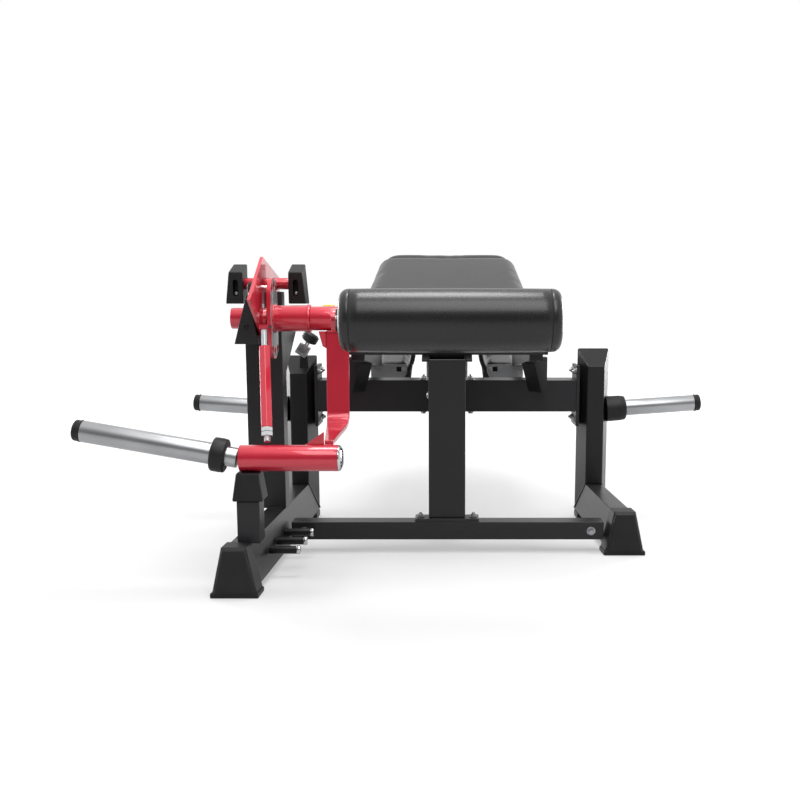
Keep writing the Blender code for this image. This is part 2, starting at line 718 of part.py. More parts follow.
def make_supports():
    """The two side rails, and one strut from the spine to the torso board."""
    make_side_rail(-1, "pad_bracket_left")
    make_side_rail(1, "pad_bracket_right")
    bm = bmesh.new()
    strut_y = TORSO_START.y + TORSO_LENGTH * HEAD_STRUT_SHARE
    half = HEAD_STRUT_WIDTH / 2
    low_z = SPINE_Z + SPINE_HEIGHT + GAP
    add_box_tube(bm, (-half, strut_y - half, low_z), (half, strut_y + half, BENCH_NEAR_Z), 2)
    for vert in bm.verts:
        if vert.co.z > BEAM_Z + BEAM_HEIGHT:
            vert.co.z = under_torso(vert.co.y)
    finish(bm, "head_strut", "frame")


def make_head_end():
    """Elbow pads on the shelves of the side rails, and two upright handles on the end of the spine."""
    for side, name in ((-1, "elbow_pad_left"), (1, "elbow_pad_right")):
        bm = bmesh.new()
        across = sorted((side * ELBOW_INNER_X, side * ELBOW_OUTER_X))
        add_cushion(bm, (across[0], 0, -ELBOW_THICK), (across[1], ELBOW_LENGTH, 0),
                    ELBOW_SHOULDER, ELBOW_CROWN, ELBOW_FRAME, cuts=5)
        finish(bm, name, "vinyl", smooth=True)
    clamp_low = SPINE_Z + (SPINE_HEIGHT - HANDLE_CLAMP_HEIGHT) / 2
    start_y = SPINE_BACK_Y + GAP
    end_x = HANDLE_CLAMP_WIDTH / 2
    bm = bmesh.new()
    add_box(bm, (-end_x, start_y, clamp_low),
            (end_x, start_y + HANDLE_CLAMP_DEPTH, clamp_low + HANDLE_CLAMP_HEIGHT))
    finish(bm, "handle_clamp", "frame")
    handle_y = start_y + HANDLE_CLAMP_DEPTH + HANDLE_RADIUS + GAP
    bm = bmesh.new()
    half = HANDLE_WIDTH / 2
    bend = HANDLE_BEND
    top = clamp_low + HANDLE_RISE
    route = [Vector((-half, handle_y, top)), Vector((-half, handle_y, clamp_low + bend))]
    steps = 5
    for side in (-1, 1):
        for i in range(1, steps):
            angle = math.pi / 2 * i / steps
            across = half - bend + bend * (math.cos(angle) if side < 0 else math.sin(angle))
            drop = bend * (math.sin(angle) if side < 0 else math.cos(angle))
            route.append(Vector((side * across, handle_y, clamp_low + bend - drop)))
    route.append(Vector((half, handle_y, clamp_low + bend)))
    route.append(Vector((half, handle_y, top)))
    add_pipe(bm, route, HANDLE_RADIUS)
    finish(bm, "handle_bar", "steel", smooth=True)


def add_pipe(bm, route, radius, sides=12):
    """A round bar along a route in one upright plane: a ring at each point, bridged in turn."""
    rings = []
    for i, point in enumerate(route):
        ahead = (route[min(i + 1, len(route) - 1)] - route[max(i - 1, 0)]).normalized()
        across = Y_AXIS.cross(ahead).normalized()
        ring = []
        for k in range(sides):
            angle = math.tau * k / sides
            ring.append(bm.verts.new(point + (across * math.cos(angle) + Y_AXIS * math.sin(angle)) * radius))
        rings.append([bm.edges.new((ring[k], ring[(k + 1) % sides])) for k in range(sides)])
    for low, high in zip(rings, rings[1:]):
        bmesh.ops.bridge_loops(bm, edges=low + high)
    for ring in (rings[0], rings[-1]):
        bmesh.ops.contextual_create(bm, geom=ring)


def tilted(side, degrees):
    """A direction out to one side and up by some degrees."""
    angle = math.radians(degrees)
    return Vector((side * math.cos(angle), 0, math.sin(angle)))


def make_storage_horn(side, name):
    """Spacer, sleeve and end cap on one tilted line, the spacer's foot cut to the upright's side."""
    out = tilted(side, STORE_TILT)
    lean = SPACER_RADIUS * math.sin(math.radians(STORE_TILT))
    root_x = abs(leg_x(side, UPRIGHT_FRONT_Y)) + TUBE_WIDE / 2 + lean + GAP - SPACER_SINK
    edge = HORN_CAP_LENGTH * 0.2
    end = STORE_LENGTH + HORN_CAP_LENGTH
    profile = [(0, 0), (0, SPACER_RADIUS), (SPACER_LENGTH, SPACER_RADIUS * 0.9),
               (SPACER_LENGTH, STORE_RADIUS), (STORE_LENGTH, STORE_RADIUS), (STORE_LENGTH, HORN_CAP_RADIUS),
               (end - edge, HORN_CAP_RADIUS), (end, HORN_CAP_RADIUS - edge), (end, 0)]
    bm = bmesh.new()
    add_turned(bm, (side * root_x, STORE_Y, STORE_Z), out, profile)
    horn = finish(bm, name, "steel", smooth=True)
    ring = upright_ring(leg_x(side, UPRIGHT_FRONT_Y), -2 * GAP)
    low_z = STORE_Z - 2 * SPACER_RADIUS
    upright = bmesh.new()
    add_prism(upright, [(x, y, low_z) for x, y, _ in ring], (0, 0, 4 * SPACER_RADIUS))
    cut(horn, upright)


def add_cap(bm, start, out):
    edge = HORN_CAP_LENGTH * 0.2
    profile = [(0, 0), (0, HORN_CAP_RADIUS), (HORN_CAP_LENGTH - edge, HORN_CAP_RADIUS),
               (HORN_CAP_LENGTH, HORN_CAP_RADIUS - edge), (HORN_CAP_LENGTH, 0)]
    add_turned(bm, start, out, profile)


def make_left_column():
    """The column on the left leg, and the tapered block on its front that carries the axle."""
    half = COLUMN_WIDTH / 2
    bm = bmesh.new()
    add_box_tube(bm, (COLUMN_X - half, COLUMN_Y, LEG_TOP + GAP),
                 (COLUMN_X + half, COLUMN_Y + COLUMN_DEPTH, COLUMN_TOP_Z), 2)
    finish(bm, "left_column", "frame")
    middle = (BLOCK_LEFT_X + BLOCK_RIGHT_X) / 2
    top = BLOCK_TOP_WIDTH / 2
    outline = [(BLOCK_LEFT_X, BLOCK_FRONT_Y, BLOCK_LOW_Z), (BLOCK_RIGHT_X, BLOCK_FRONT_Y, BLOCK_LOW_Z),
               (middle + BLOCK_TOP_SHIFT + top, BLOCK_FRONT_Y, BLOCK_TOP_Z),
               (middle + BLOCK_TOP_SHIFT - top, BLOCK_FRONT_Y, BLOCK_TOP_Z)]
    bm = bmesh.new()
    add_prism(bm, outline, (0, COLUMN_Y - GAP - BLOCK_FRONT_Y, 0))
    block = finish(bm, "bearing_block", "frame")
    bore = bmesh.new()
    add_rod(bore, (BLOCK_LEFT_X - CUT_REACH, AXLE_Y, AXLE_Z), (BLOCK_RIGHT_X + CUT_REACH, AXLE_Y, AXLE_Z),
            HOUSING_RADIUS + GAP, segments=32)
    cut(block, bore)


def make_axle_fixed():
    """The red housing through the block, and its two bearings."""
    bm = bmesh.new()
    add_rod(bm, (HOUSING_LEFT_X, AXLE_Y, AXLE_Z), (HOUSING_RIGHT_X, AXLE_Y, AXLE_Z),
            HOUSING_RADIUS, HOUSING_BORE, segments=32)
    finish(bm, "axle_housing", "red", smooth=True)
    right_start = HOUSING_RIGHT_X - BEARING_LENGTH
    for start, name in ((HOUSING_LEFT_X, "bearing_outer"), (right_start, "bearing_inner")):
        bm = bmesh.new()
        add_rod(bm, (start, AXLE_Y, AXLE_Z), (start + BEARING_LENGTH, AXLE_Y, AXLE_Z),
                HOUSING_BORE - GAP, AXLE_RADIUS + RUNNING, segments=32)
        finish(bm, name, "steel", smooth=True)


def plate_hole(side, spread):
    """Y and Z of one of the hole plate's holes, spread being degrees from upright."""
    ring = HOLE_PLATE_HEIGHT / 2 - HOLE_INSET
    angle = math.radians(spread)
    return AXLE_Y + side * ring * math.sin(angle), AXLE_Z + side * ring * math.cos(angle)


def lock_pin_tip():
    """The pin faces one hole of the hole plate, and its tip stops just short of it."""
    y, z = plate_hole(1, HOLE_SPREAD)
    return Vector((HOLE_PLATE_X - GAP * 2, y, z))


def make_head_plate():
    """Diamond plate beside the block, with the stop tube and its two rubber blocks."""
    x = BLOCK_RIGHT_X + GAP
    outline = [(x, AXLE_Y, HEAD_APEX_Z), (x, HEAD_FRONT_Y, HEAD_FRONT_Z),
               (x, AXLE_Y - HEAD_LOW_HALF, HEAD_LOW_Z), (x, AXLE_Y + HEAD_LOW_HALF, HEAD_LOW_Z),
               (x, HEAD_BACK_Y, HEAD_BACK_LOW_Z), (x, HEAD_BACK_Y, HEAD_BACK_TOP_Z)]
    bm = bmesh.new()
    add_prism(bm, outline, (HEAD_PLATE_THICK, 0, 0))
    plate = finish(bm, "head_plate", "red")
    holes = bmesh.new()
    before = x - CUT_REACH
    after = x + HEAD_PLATE_THICK + CUT_REACH
    add_rod(holes, (before, AXLE_Y, AXLE_Z), (after, AXLE_Y, AXLE_Z), HOUSING_RADIUS + GAP, segments=32)
    add_rod(holes, (before, STOP_Y, STOP_Z), (after, STOP_Y, STOP_Z), STOP_TUBE_RADIUS + GAP, segments=24)
    pin = lock_pin_tip()
    add_rod(holes, (before, pin.y, pin.z), (after, pin.y, pin.z), PIN_RADIUS + GAP, segments=20)
    cut(plate, holes)
    middle = COLUMN_X
    tube_half = STOP_TUBE_LENGTH / 2
    bm = bmesh.new()
    add_rod(bm, (middle - tube_half, STOP_Y, STOP_Z), (middle + tube_half, STOP_Y, STOP_Z), STOP_TUBE_RADIUS)
    finish(bm, "stop_tube", "red", smooth=True)
    for side, name in ((-1, "stop_block_left"), (1, "stop_block_right")):
        inner = middle + side * (tube_half + GAP)
        outer = inner + side * STOP_BLOCK_WIDTH
        low_z = STOP_Z - STOP_BLOCK_HEIGHT / 2
        high_z = low_z + STOP_BLOCK_HEIGHT
        low_y = STOP_Y - STOP_BLOCK_DEPTH / 2
        high_y = STOP_Y + STOP_BLOCK_DEPTH / 2
        bm = bmesh.new()
        add_box(bm, (min(inner, outer), low_y, low_z), (max(inner, outer), high_y, high_z))
        for vert in bm.verts:
            outside = abs(vert.co.x - outer) < 1e-6
            if vert.co.z > STOP_Z:
                if vert.co.y < STOP_Y:
                    vert.co.z -= STOP_BLOCK_SLOPE
                if outside:
                    vert.co.x -= side * STOP_BLOCK_TAPER
        finish(bm, name, "rubber")


def make_bumper():
    """Post on the left leg and the rubber cap that the lower tube rests on."""
    low_y = LOWER_Y - BUMPER_DEPTH / 2
    half = BUMPER_WIDTH / 2
    cap_top = LOWER_Z - LOWER_RADIUS - GAP
    cap_low = cap_top - BUMPER_CAP_HEIGHT
    bm = bmesh.new()
    add_box_tube(bm, (BUMPER_X - half, low_y, LEG_TOP + GAP),
                 (BUMPER_X + half, low_y + BUMPER_DEPTH, cap_low - GAP), 2)
    finish(bm, "bumper_post", "frame")
    bm = bmesh.new()
    verts = add_box(bm, (BUMPER_X - half, low_y, cap_low), (BUMPER_X + half, low_y + BUMPER_DEPTH, cap_top))
    for vert in verts:
        if vert.co.z < cap_top - 0.001:
            vert.co.x += math.copysign(BUMPER_CAP_FLARE, vert.co.x - BUMPER_X)
            vert.co.y += math.copysign(BUMPER_CAP_FLARE / 2, vert.co.y - LOWER_Y)
    finish(bm, "bumper_cap", "rubber")


def leg_flank(side, y, z):
    """Inner face of a leg at a place along it and a height."""
    share = (z - LEG_LIFT) / LEG_HEIGHT
    return leg_x(side, y) - side * section_half_width(share)


def make_band_pegs():
    """Three pegs on the inner face of the left leg, each with a wider end."""
    for number, y in enumerate(PEG_YS, 1):
        start = leg_flank(-1, y, PEG_Z - PEG_RADIUS) + PEG_STANDOFF
        edge = PEG_END_LENGTH * 0.25
        end = PEG_LENGTH + PEG_END_LENGTH
        profile = [(0, 0), (0, PEG_RADIUS), (PEG_LENGTH, PEG_RADIUS), (PEG_LENGTH, PEG_RADIUS * 1.1),
                   (end - edge, PEG_RADIUS * 1.1), (end, PEG_RADIUS * 0.85), (end, 0)]
        bm = bmesh.new()
        add_turned(bm, (start, y, PEG_Z), X_AXIS, profile, 16)
        finish(bm, "band_peg_" + str(number), "frame", smooth=True)


def make_bolts():
    """The two bolts of the post's flange and the one in front of the bearing block."""
    flange_top = BASE_TUBE_Z + BASE_TUBE_HEIGHT + GAP + POST_FLANGE_THICK
    bolt_x = POST_FLANGE_WIDTH / 2 - BOLT_RADIUS * 1.5
    block_middle = (BLOCK_LEFT_X + BLOCK_RIGHT_X) / 2
    places = (("flange_bolt_left", (-bolt_x, BASE_TUBE_Y + POST_DEPTH / 2, flange_top), Z_AXIS),
              ("flange_bolt_right", (bolt_x, BASE_TUBE_Y + POST_DEPTH / 2, flange_top), Z_AXIS),
              ("block_bolt", (block_middle, BLOCK_FRONT_Y, BLOCK_LOW_Z + BLOCK_BOLT_RISE), -Y_AXIS))
    for name, at, out in places:
        bm = bmesh.new()
        add_bolt(bm, at, out)
        finish(bm, name, "steel")


def make_weight_arm():
    origin = AXLE
    bm = bmesh.new()
    right = ROLLER_ARM_X + ROLLER_ARM_THICK + AXLE_PROUD
    add_rod(bm, (HOUSING_LEFT_X, AXLE_Y, AXLE_Z), (right, AXLE_Y, AXLE_Z), AXLE_RADIUS, segments=32)
    finish(bm, "knee_axle", "steel", origin, smooth=True)

    bm = bmesh.new()
    half_y = HOLE_PLATE_WIDTH / 2
    straight = HOLE_PLATE_HEIGHT / 2 - half_y
    outline = []
    steps = 12
    for end in (0, 1):
        for i in range(steps + 1):
            angle = math.pi * (end + i / steps)
            lift = straight if end == 0 else -straight
            outline.append((HOLE_PLATE_X, AXLE_Y + half_y * math.cos(angle),
                            AXLE_Z + lift + half_y * math.sin(angle)))
    add_prism(bm, outline, (PLATE, 0, 0))
    plate = finish(bm, "hole_plate", "red", origin)
    lug = bmesh.new()
    add_box(lug, (TURNBUCKLE_TOP_X - LUG_MARGIN, TURNBUCKLE_TOP_Y - LUG_MARGIN, TURNBUCKLE_TOP_Z + GAP),
            (HOLE_PLATE_X + PLATE, AXLE_Y - HOUSING_RADIUS - LUG_MARGIN, TURNBUCKLE_TOP_Z + LUG_MARGIN))
    cut(plate, lug, "UNION")
    holes = bmesh.new()
    before = HOLE_PLATE_X - CUT_REACH
    after = HOLE_PLATE_X + PLATE + CUT_REACH
    add_rod(holes, (before, AXLE_Y, AXLE_Z), (after, AXLE_Y, AXLE_Z), AXLE_RADIUS + GAP, segments=24)
    for side in (-1, 1):
        for spread in (-HOLE_SPREAD, 0, HOLE_SPREAD):
            y, z = plate_hole(side, spread)
            add_rod(holes, (before, y, z), (after, y, z), HOLE_PLATE_HOLE, segments=16)
    cut(plate, holes)

    bm = bmesh.new()
    hub_left = HOLE_PLATE_X + PLATE + GAP
    bore = AXLE_RADIUS + GAP
    step = HUB_RIGHT_X - hub_left
    profile = [(0, bore), (0, HUB_RADIUS), (step, HUB_RADIUS), (step, COLLAR_RADIUS),
               (step + COLLAR_LENGTH, COLLAR_RADIUS), (step + COLLAR_LENGTH, bore)]
    add_turned(bm, (hub_left, AXLE_Y, AXLE_Z), X_AXIS, profile, 32)
    finish(bm, "weight_hub", "red", origin, smooth=True)

    bm = bmesh.new()
    tube_left = HUB_RIGHT_X + COLLAR_LENGTH + GAP
    add_rod(bm, (tube_left, AXLE_Y, AXLE_Z), (ARM_TUBE_RIGHT_X, AXLE_Y, AXLE_Z), ARM_TUBE_RADIUS, bore,
            segments=32)
    finish(bm, "arm_tube", "red", origin, smooth=True)

    make_arm_plate(origin)

    bm = bmesh.new()
    add_rod(bm, (LOWER_LEFT_X, LOWER_Y, LOWER_Z), (LOWER_RIGHT_X, LOWER_Y, LOWER_Z), LOWER_RADIUS,
            LOWER_RADIUS - WALL, segments=32)
    finish(bm, "lower_tube", "red", origin, smooth=True)
    bm = bmesh.new()
    dome = [(0, 0)]
    for along, wide in ((0, 0.98), (0.27, 0.98), (0.73, 0.75), (0.95, 0.40)):
        dome.append((LOWER_CAP_LENGTH * along, LOWER_RADIUS * wide))
    dome.append((LOWER_CAP_LENGTH, 0))
    add_turned(bm, (LOWER_RIGHT_X + GAP, LOWER_Y, LOWER_Z), X_AXIS, dome, 32)
    finish(bm, "lower_tube_cap", "chrome", origin, smooth=True)
    make_weight_horn(origin)
    make_turnbuckle(origin)


def make_arm_plate(origin):
    """Broad bent plate from the arm tube down and forward to the lower tube."""
    back = AXLE_Y - ARM_TUBE_RADIUS * 0.3
    top_z = AXLE_Z - ARM_TUBE_RADIUS - GAP
    reach_y = LOWER_Y + LOWER_RADIUS * 0.55
    tube_z = LOWER_Z + math.sqrt(LOWER_RADIUS ** 2 - (reach_y - LOWER_Y) ** 2)
    reach_z = tube_z + ARM_PLATE_THICK / 2 + ARM_PLATE_FOOT_EASE
    bend = Vector((0, back - ARM_PLATE_LEAN, ARM_PLATE_BEND_Z))
    bend_start = Vector((0, back - ARM_PLATE_LEAN * 0.75, ARM_PLATE_BEND_Z + ARM_PLATE_BEND_RISE))
    line = [Vector((0, back, top_z)), bend_start]
    slope_end = Vector((0, reach_y, reach_z))
    bend_end = bend.lerp(slope_end, 0.25)
    steps = 5
    for i in range(1, steps + 1):
        share = i / (steps + 1)
        line.append(bend_start.lerp(bend, share).lerp(bend.lerp(bend_end, share), share))
    line.append(bend_end)
    line.append(slope_end)
    outer = []
    inner = []
    for i, point in enumerate(line):
        ahead = line[min(i + 1, len(line) - 1)] - line[max(i - 1, 0)]
        normal = Vector((0, -ahead.z, ahead.y)).normalized()
        outer.append(point + normal * ARM_PLATE_THICK / 2)
        inner.append(point - normal * ARM_PLATE_THICK / 2)
    for row in (outer, inner):
        row[0].z = top_z
        row[-1].y = reach_y
    outline = outer + inner[::-1]
    bm = bmesh.new()
    add_prism(bm, [(ARM_PLATE_LEFT_X, point.y, point.z) for point in outline],
              (ARM_PLATE_RIGHT_X - ARM_PLATE_LEFT_X, 0, 0))
    for vert in bm.verts:
        share = max(0.0, (bend.y - vert.co.y) / (bend.y - reach_y))
        inwards = -1 if vert.co.x > (ARM_PLATE_LEFT_X + ARM_PLATE_RIGHT_X) / 2 else 1
        vert.co.x += inwards * share * ARM_PLATE_NARROWING
    finish(bm, "arm_plate", "red", origin)


def make_weight_horn(origin):
    """Chrome neck, rubber collar, steel sleeve and end cap on one tilted line."""
    out = tilted(-1, HORN_TILT)
    lean = LOWER_RADIUS * math.sin(math.radians(HORN_TILT))
    root = Vector((LOWER_LEFT_X - lean - GAP * 2, LOWER_Y, LOWER_Z))
    collar_end = HORN_NECK_LENGTH + HORN_COLLAR_LENGTH
    sleeve_end = collar_end + HORN_SLEEVE_LENGTH
    bm = bmesh.new()
    profile = [(0, 0), (0, HORN_NECK_RADIUS), (collar_end, HORN_NECK_RADIUS), (collar_end, HORN_RADIUS),
               (sleeve_end, HORN_RADIUS), (sleeve_end, 0)]
    add_turned(bm, root, out, profile, 32)
    finish(bm, "weight_horn", "steel", origin, smooth=True)
    bm = bmesh.new()
    bore = HORN_NECK_RADIUS + GAP
    length = HORN_COLLAR_LENGTH - GAP
    edge = HORN_COLLAR_LENGTH * 0.15
    profile = [(0, bore), (0, HORN_COLLAR_RADIUS - edge), (edge, HORN_COLLAR_RADIUS),
               (length - edge, HORN_COLLAR_RADIUS), (length, HORN_COLLAR_RADIUS - edge), (length, bore)]
    add_turned(bm, root + out * HORN_NECK_LENGTH, out, profile, 32)
    finish(bm, "horn_collar", "rubber", origin, smooth=True)
    bm = bmesh.new()
    add_cap(bm, root + out * (sleeve_end + GAP), out)
    finish(bm, "horn_cap", "rubber", origin, smooth=True)


def make_turnbuckle(origin):
    """Hexagon body between two threaded rods, from the lug of the hole plate to the lower tube."""
    top = Vector((TURNBUCKLE_TOP_X, TURNBUCKLE_TOP_Y, TURNBUCKLE_TOP_Z))
    foot = Vector((TURNBUCKLE_FOOT_X, LOWER_Y, LOWER_Z + LOWER_RADIUS + TURNBUCKLE_ROD))
    length = (foot - top).length
    body = TURNBUCKLE_RADIUS
    rod = TURNBUCKLE_ROD
    body_start = length * TURNBUCKLE_BODY_START
    body_end = length * TURNBUCKLE_BODY_END
    nut = TURNBUCKLE_NUT
    profile = [(rod * 0.5, 0), (rod * 0.5, rod), (body_start, rod), (body_start, body), (body_end, body),
               (body_end, rod), (body_end + nut, rod), (body_end + nut, body), (body_end + 2 * nut, body),
               (body_end + 2 * nut, rod), (length, rod), (length, 0)]
    bm = bmesh.new()
    add_turned(bm, top, foot - top, profile, 6)
    finish(bm, "turnbuckle", "red", origin)


def make_roller_arm():
    """Flat arm on the end of the axle, its spindle, and the roller that turns on it."""
    origin = AXLE
    direction = Vector((0, ROLLER_Y - AXLE_Y, ROLLER_Z - AXLE_Z))
    length = direction.length
    along = direction.normalized()
    up = Vector((0, -along.z, along.y)) * -1
    outline = []
    steps = 10
    half = ROLLER_ARM_HEIGHT / 2
    for i in range(steps + 1):
        angle = math.pi * (0.5 + i / steps)
        outline.append(AXLE + (along * math.cos(angle) + up * math.sin(angle)) * ROLLER_BOSS_RADIUS)
    for i in range(steps + 1):
        angle = math.pi * (1.5 + i / steps)
        outline.append(AXLE + along * (length + math.cos(angle) * half) + up * math.sin(angle) * half)
    bm = bmesh.new()
    add_prism(bm, [(ROLLER_ARM_X, point.y, point.z) for point in outline], (ROLLER_ARM_THICK, 0, 0))
    arm = finish(bm, "roller_arm", "red", origin)
    holes = bmesh.new()
    before = ROLLER_ARM_X - CUT_REACH
    after = ROLLER_ARM_X + ROLLER_ARM_THICK + CUT_REACH
    add_rod(holes, (before, AXLE_Y, AXLE_Z), (after, AXLE_Y, AXLE_Z), AXLE_RADIUS + RUNNING, segments=32)
    add_rod(holes, (before, ROLLER_Y, ROLLER_Z), (after, ROLLER_Y, ROLLER_Z), SPINDLE_RADIUS + GAP,
            segments=24)
    cut(arm, holes)

    roller_right = ROLLER_LEFT_X + ROLLER_LENGTH
    bm = bmesh.new()
    add_rod(bm, (ROLLER_ARM_X, ROLLER_Y, ROLLER_Z), (roller_right - SPINDLE_SHORT, ROLLER_Y, ROLLER_Z),
            SPINDLE_RADIUS)
    finish(bm, "roller_spindle", "steel", origin, smooth=True)

    centre = Vector((0, ROLLER_Y, ROLLER_Z))
    bm = bmesh.new()
    rim = ROLLER_RIM
    steps = 5
    profile = [(0, ROLLER_BORE)]
    for i in range(steps + 1):
        angle = math.pi / 2 * i / steps
        profile.append((rim * (1 - math.cos(angle)), ROLLER_RADIUS - rim + rim * math.sin(angle)))
    for i in range(steps + 1):
        angle = math.pi / 2 * (1 - i / steps)
        profile.append((ROLLER_LENGTH - rim * (1 - math.cos(angle)),
                        ROLLER_RADIUS - rim + rim * math.sin(angle)))
    profile.append((ROLLER_LENGTH, ROLLER_BORE))
    add_turned(bm, (ROLLER_LEFT_X, ROLLER_Y, ROLLER_Z), X_AXIS, profile, 36)
    finish(bm, "ankle_roller", "vinyl", centre, smooth=True)


def make_lock_pin():
    """Sprung pin through the head plate, with a knob on its outer side."""
    tip = lock_pin_tip()
    bm = bmesh.new()
    knob_start = tip.x - (BLOCK_RIGHT_X + GAP) + PIN_STANDOFF
    knob_end = knob_start + PIN_KNOB_LENGTH
    face = PIN_KNOB_RADIUS - PIN_KNOB_EASE
    profile = [(0, 0), (0, PIN_RADIUS), (knob_start, PIN_RADIUS), (knob_start, face),
               (knob_start + PIN_KNOB_EASE, PIN_KNOB_RADIUS), (knob_end - PIN_KNOB_EASE, PIN_KNOB_RADIUS),
               (knob_end, face), (knob_end, 0)]
    add_turned(bm, tip, -X_AXIS, profile, 20)
    finish(bm, "lock_pin", "rubber", tip, smooth=True)


def clear_scene():
    for item in list(bpy.data.objects):
        bpy.data.objects.remove(item, do_unlink=True)


def centre_on_floor():
    """Move everything so that the whole machine's box is centred in X and Y."""
    bpy.context.view_layer.update()
    graph = bpy.context.evaluated_depsgraph_get()
    low = Vector((1e9, 1e9))
    high = Vector((-1e9, -1e9))
    for piece in built:
        mesh = piece.evaluated_get(graph).to_mesh()
        for vert in mesh.vertices:
            point = piece.matrix_world @ vert.co
            for k in range(2):
                low[k] = min(low[k], point[k])
                high[k] = max(high[k], point[k])
        piece.evaluated_get(graph).to_mesh_clear()
    middle = (low + high) / 2
    for piece in built:
        piece.location -= Vector((*middle, 0))
    print("moved by", [round(-value, 7) for value in middle])


clear_scene()
make_leg(1, "right_leg")
make_leg(-1, "left_leg")
make_upright(1, "right_upright")
make_upright(-1, "left_upright")
make_boot(1, "right_front_foot")
make_boot(-1, "left_front_foot")
make_rear_foot(1, "right_rear_foot")
make_rear_foot(-1, "left_rear_foot")
make_cross_members()
make_bench()
make_post()
make_supports()
make_head_end()
make_storage_horn(-1, "storage_horn_left")
make_storage_horn(1, "storage_horn_right")
make_left_column()
make_axle_fixed()
make_head_plate()
make_bumper()
make_band_pegs()
make_bolts()
make_lock_pin()
make_weight_arm()
make_roller_arm()
centre_on_floor()
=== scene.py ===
import json
import math

import bmesh
import bpy
from mathutils import Matrix, Vector


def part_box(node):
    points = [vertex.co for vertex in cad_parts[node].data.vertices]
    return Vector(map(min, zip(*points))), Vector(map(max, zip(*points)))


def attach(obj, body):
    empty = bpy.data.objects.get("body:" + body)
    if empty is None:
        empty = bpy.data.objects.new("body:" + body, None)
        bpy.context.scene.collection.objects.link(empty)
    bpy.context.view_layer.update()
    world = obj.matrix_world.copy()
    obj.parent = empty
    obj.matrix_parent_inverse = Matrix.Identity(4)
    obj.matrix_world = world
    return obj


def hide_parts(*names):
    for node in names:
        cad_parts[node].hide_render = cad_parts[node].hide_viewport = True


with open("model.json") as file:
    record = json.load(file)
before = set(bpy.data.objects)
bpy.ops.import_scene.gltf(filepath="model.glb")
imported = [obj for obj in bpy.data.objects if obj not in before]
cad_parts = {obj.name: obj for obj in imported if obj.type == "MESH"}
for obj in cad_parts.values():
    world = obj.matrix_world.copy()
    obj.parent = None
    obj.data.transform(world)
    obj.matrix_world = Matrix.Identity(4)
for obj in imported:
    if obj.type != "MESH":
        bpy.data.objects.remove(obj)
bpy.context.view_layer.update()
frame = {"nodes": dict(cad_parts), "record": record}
nodes = frame["nodes"]
scene = bpy.context.scene
scene.view_settings.view_transform = "Standard"


def middleOf(name):
    low, high = (Vector(corner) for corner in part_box(name))
    return (low + high) / 2, low, high


# places and lengths that everything else is worked out from
midX = middleOf("thigh_pad")[0].x
axleAt, axleLow, axleHigh = middleOf("knee_axle")
rollerAt, rollerLow, rollerHigh = middleOf("ankle_roller")
gap = 0.0003  # left between pieces that move, or that lie on each other
weld = 0.00002  # corners as near as this are one
close = 0.0005  # a point as near as this lies on a face
bothSides = ((-1, "Left"), (1, "Right"))


def meshOf(name, bm):
    mesh = bpy.data.meshes.new(name)
    bm.to_mesh(mesh)
    bm.free()
    return mesh


def linked(name, data):
    made = bpy.data.objects.new(name, data)
    scene.collection.objects.link(made)
    return made


print("frame loaded", len(nodes), "nodes")

# camera
cameraSet = {
    "focalPixels": 950, "sensor": 36, "imageSize": 800, "pitch": 8.4, "height": 0.690,
    "back": 2.481, "principalX": 447, "principalY": 440,
}


def makeCamera(s):
    data = bpy.data.cameras.new("camera")
    data.sensor_width = s["sensor"]
    data.lens = s["focalPixels"] * s["sensor"] / s["imageSize"]
    data.shift_x = (s["imageSize"] / 2 - s["principalX"]) / s["imageSize"]
    data.shift_y = (s["principalY"] - s["imageSize"] / 2) / s["imageSize"]
    camera = linked("camera", data)
    camera.location = (midX, axleAt.y - s["back"], s["height"])
    camera.rotation_euler = (math.radians(90 - s["pitch"]), 0, 0)
    scene.camera = camera


makeCamera(cameraSet)


# materials
def linear(hexColour, alpha=1.0):
    values = [int(hexColour[k:k + 2], 16) / 255 for k in (1, 3, 5)]
    return [v / 12.92 if v <= 0.04045 else ((v + 0.055) / 1.055) ** 2.4 for v in values] + [alpha]


def addNode(tree, kind, settings=None, inputs=None, links=None):
    made = tree.nodes.new(kind)
    for key, value in (settings or {}).items():
        setattr(made, key, value)
    for key, value in (inputs or {}).items():
        made.inputs[key].default_value = value
    for key, output in (links or {}).items():
        tree.links.new(output, made.inputs[key])
    return made


def newMaterial(name, base, rough, metal=0.0, coat=0.0, coatRough=0.1, ior=None):
    material = bpy.data.materials.new(name)
    material.use_nodes = True
    tree = material.node_tree
    shader = tree.nodes["Principled BSDF"]
    for key, value in (("Base Color", linear(base)), ("Roughness", rough), ("Metallic", metal),
                       ("Coat Weight", coat), ("Coat Roughness", coatRough)):
        shader.inputs[key].default_value = value
    if ior:
        shader.inputs["IOR"].default_value = ior
    where = addNode(tree, "ShaderNodeTexCoord").outputs["Object"]
    return material, tree, shader, where


def grain(tree, where, millimetres, detail=2.0, stretch=None, rough=0.5):
    # noise with one lump in about that many millimetres
    if stretch:
        where = addNode(tree, "ShaderNodeMapping", inputs={"Scale": stretch}, links={"Vector": where}).outputs[0]
    return addNode(tree, "ShaderNodeTexNoise", inputs={"Scale": 1000 / millimetres, "Detail": detail,
                                                       "Roughness": rough}, links={"Vector": where}).outputs["Fac"]


def tint(tree, shader, factor, first, second, start=0.35, stop=0.65):
    ramp = addNode(tree, "ShaderNodeValToRGB", links={"Fac": factor})
    for element, place, colour in zip(ramp.color_ramp.elements, (start, stop), (first, second)):
        element.position = place
        element.color = linear(colour)
    if shader:
        tree.links.new(ramp.outputs["Color"], shader.inputs["Base Color"])
    return ramp.outputs["Color"]


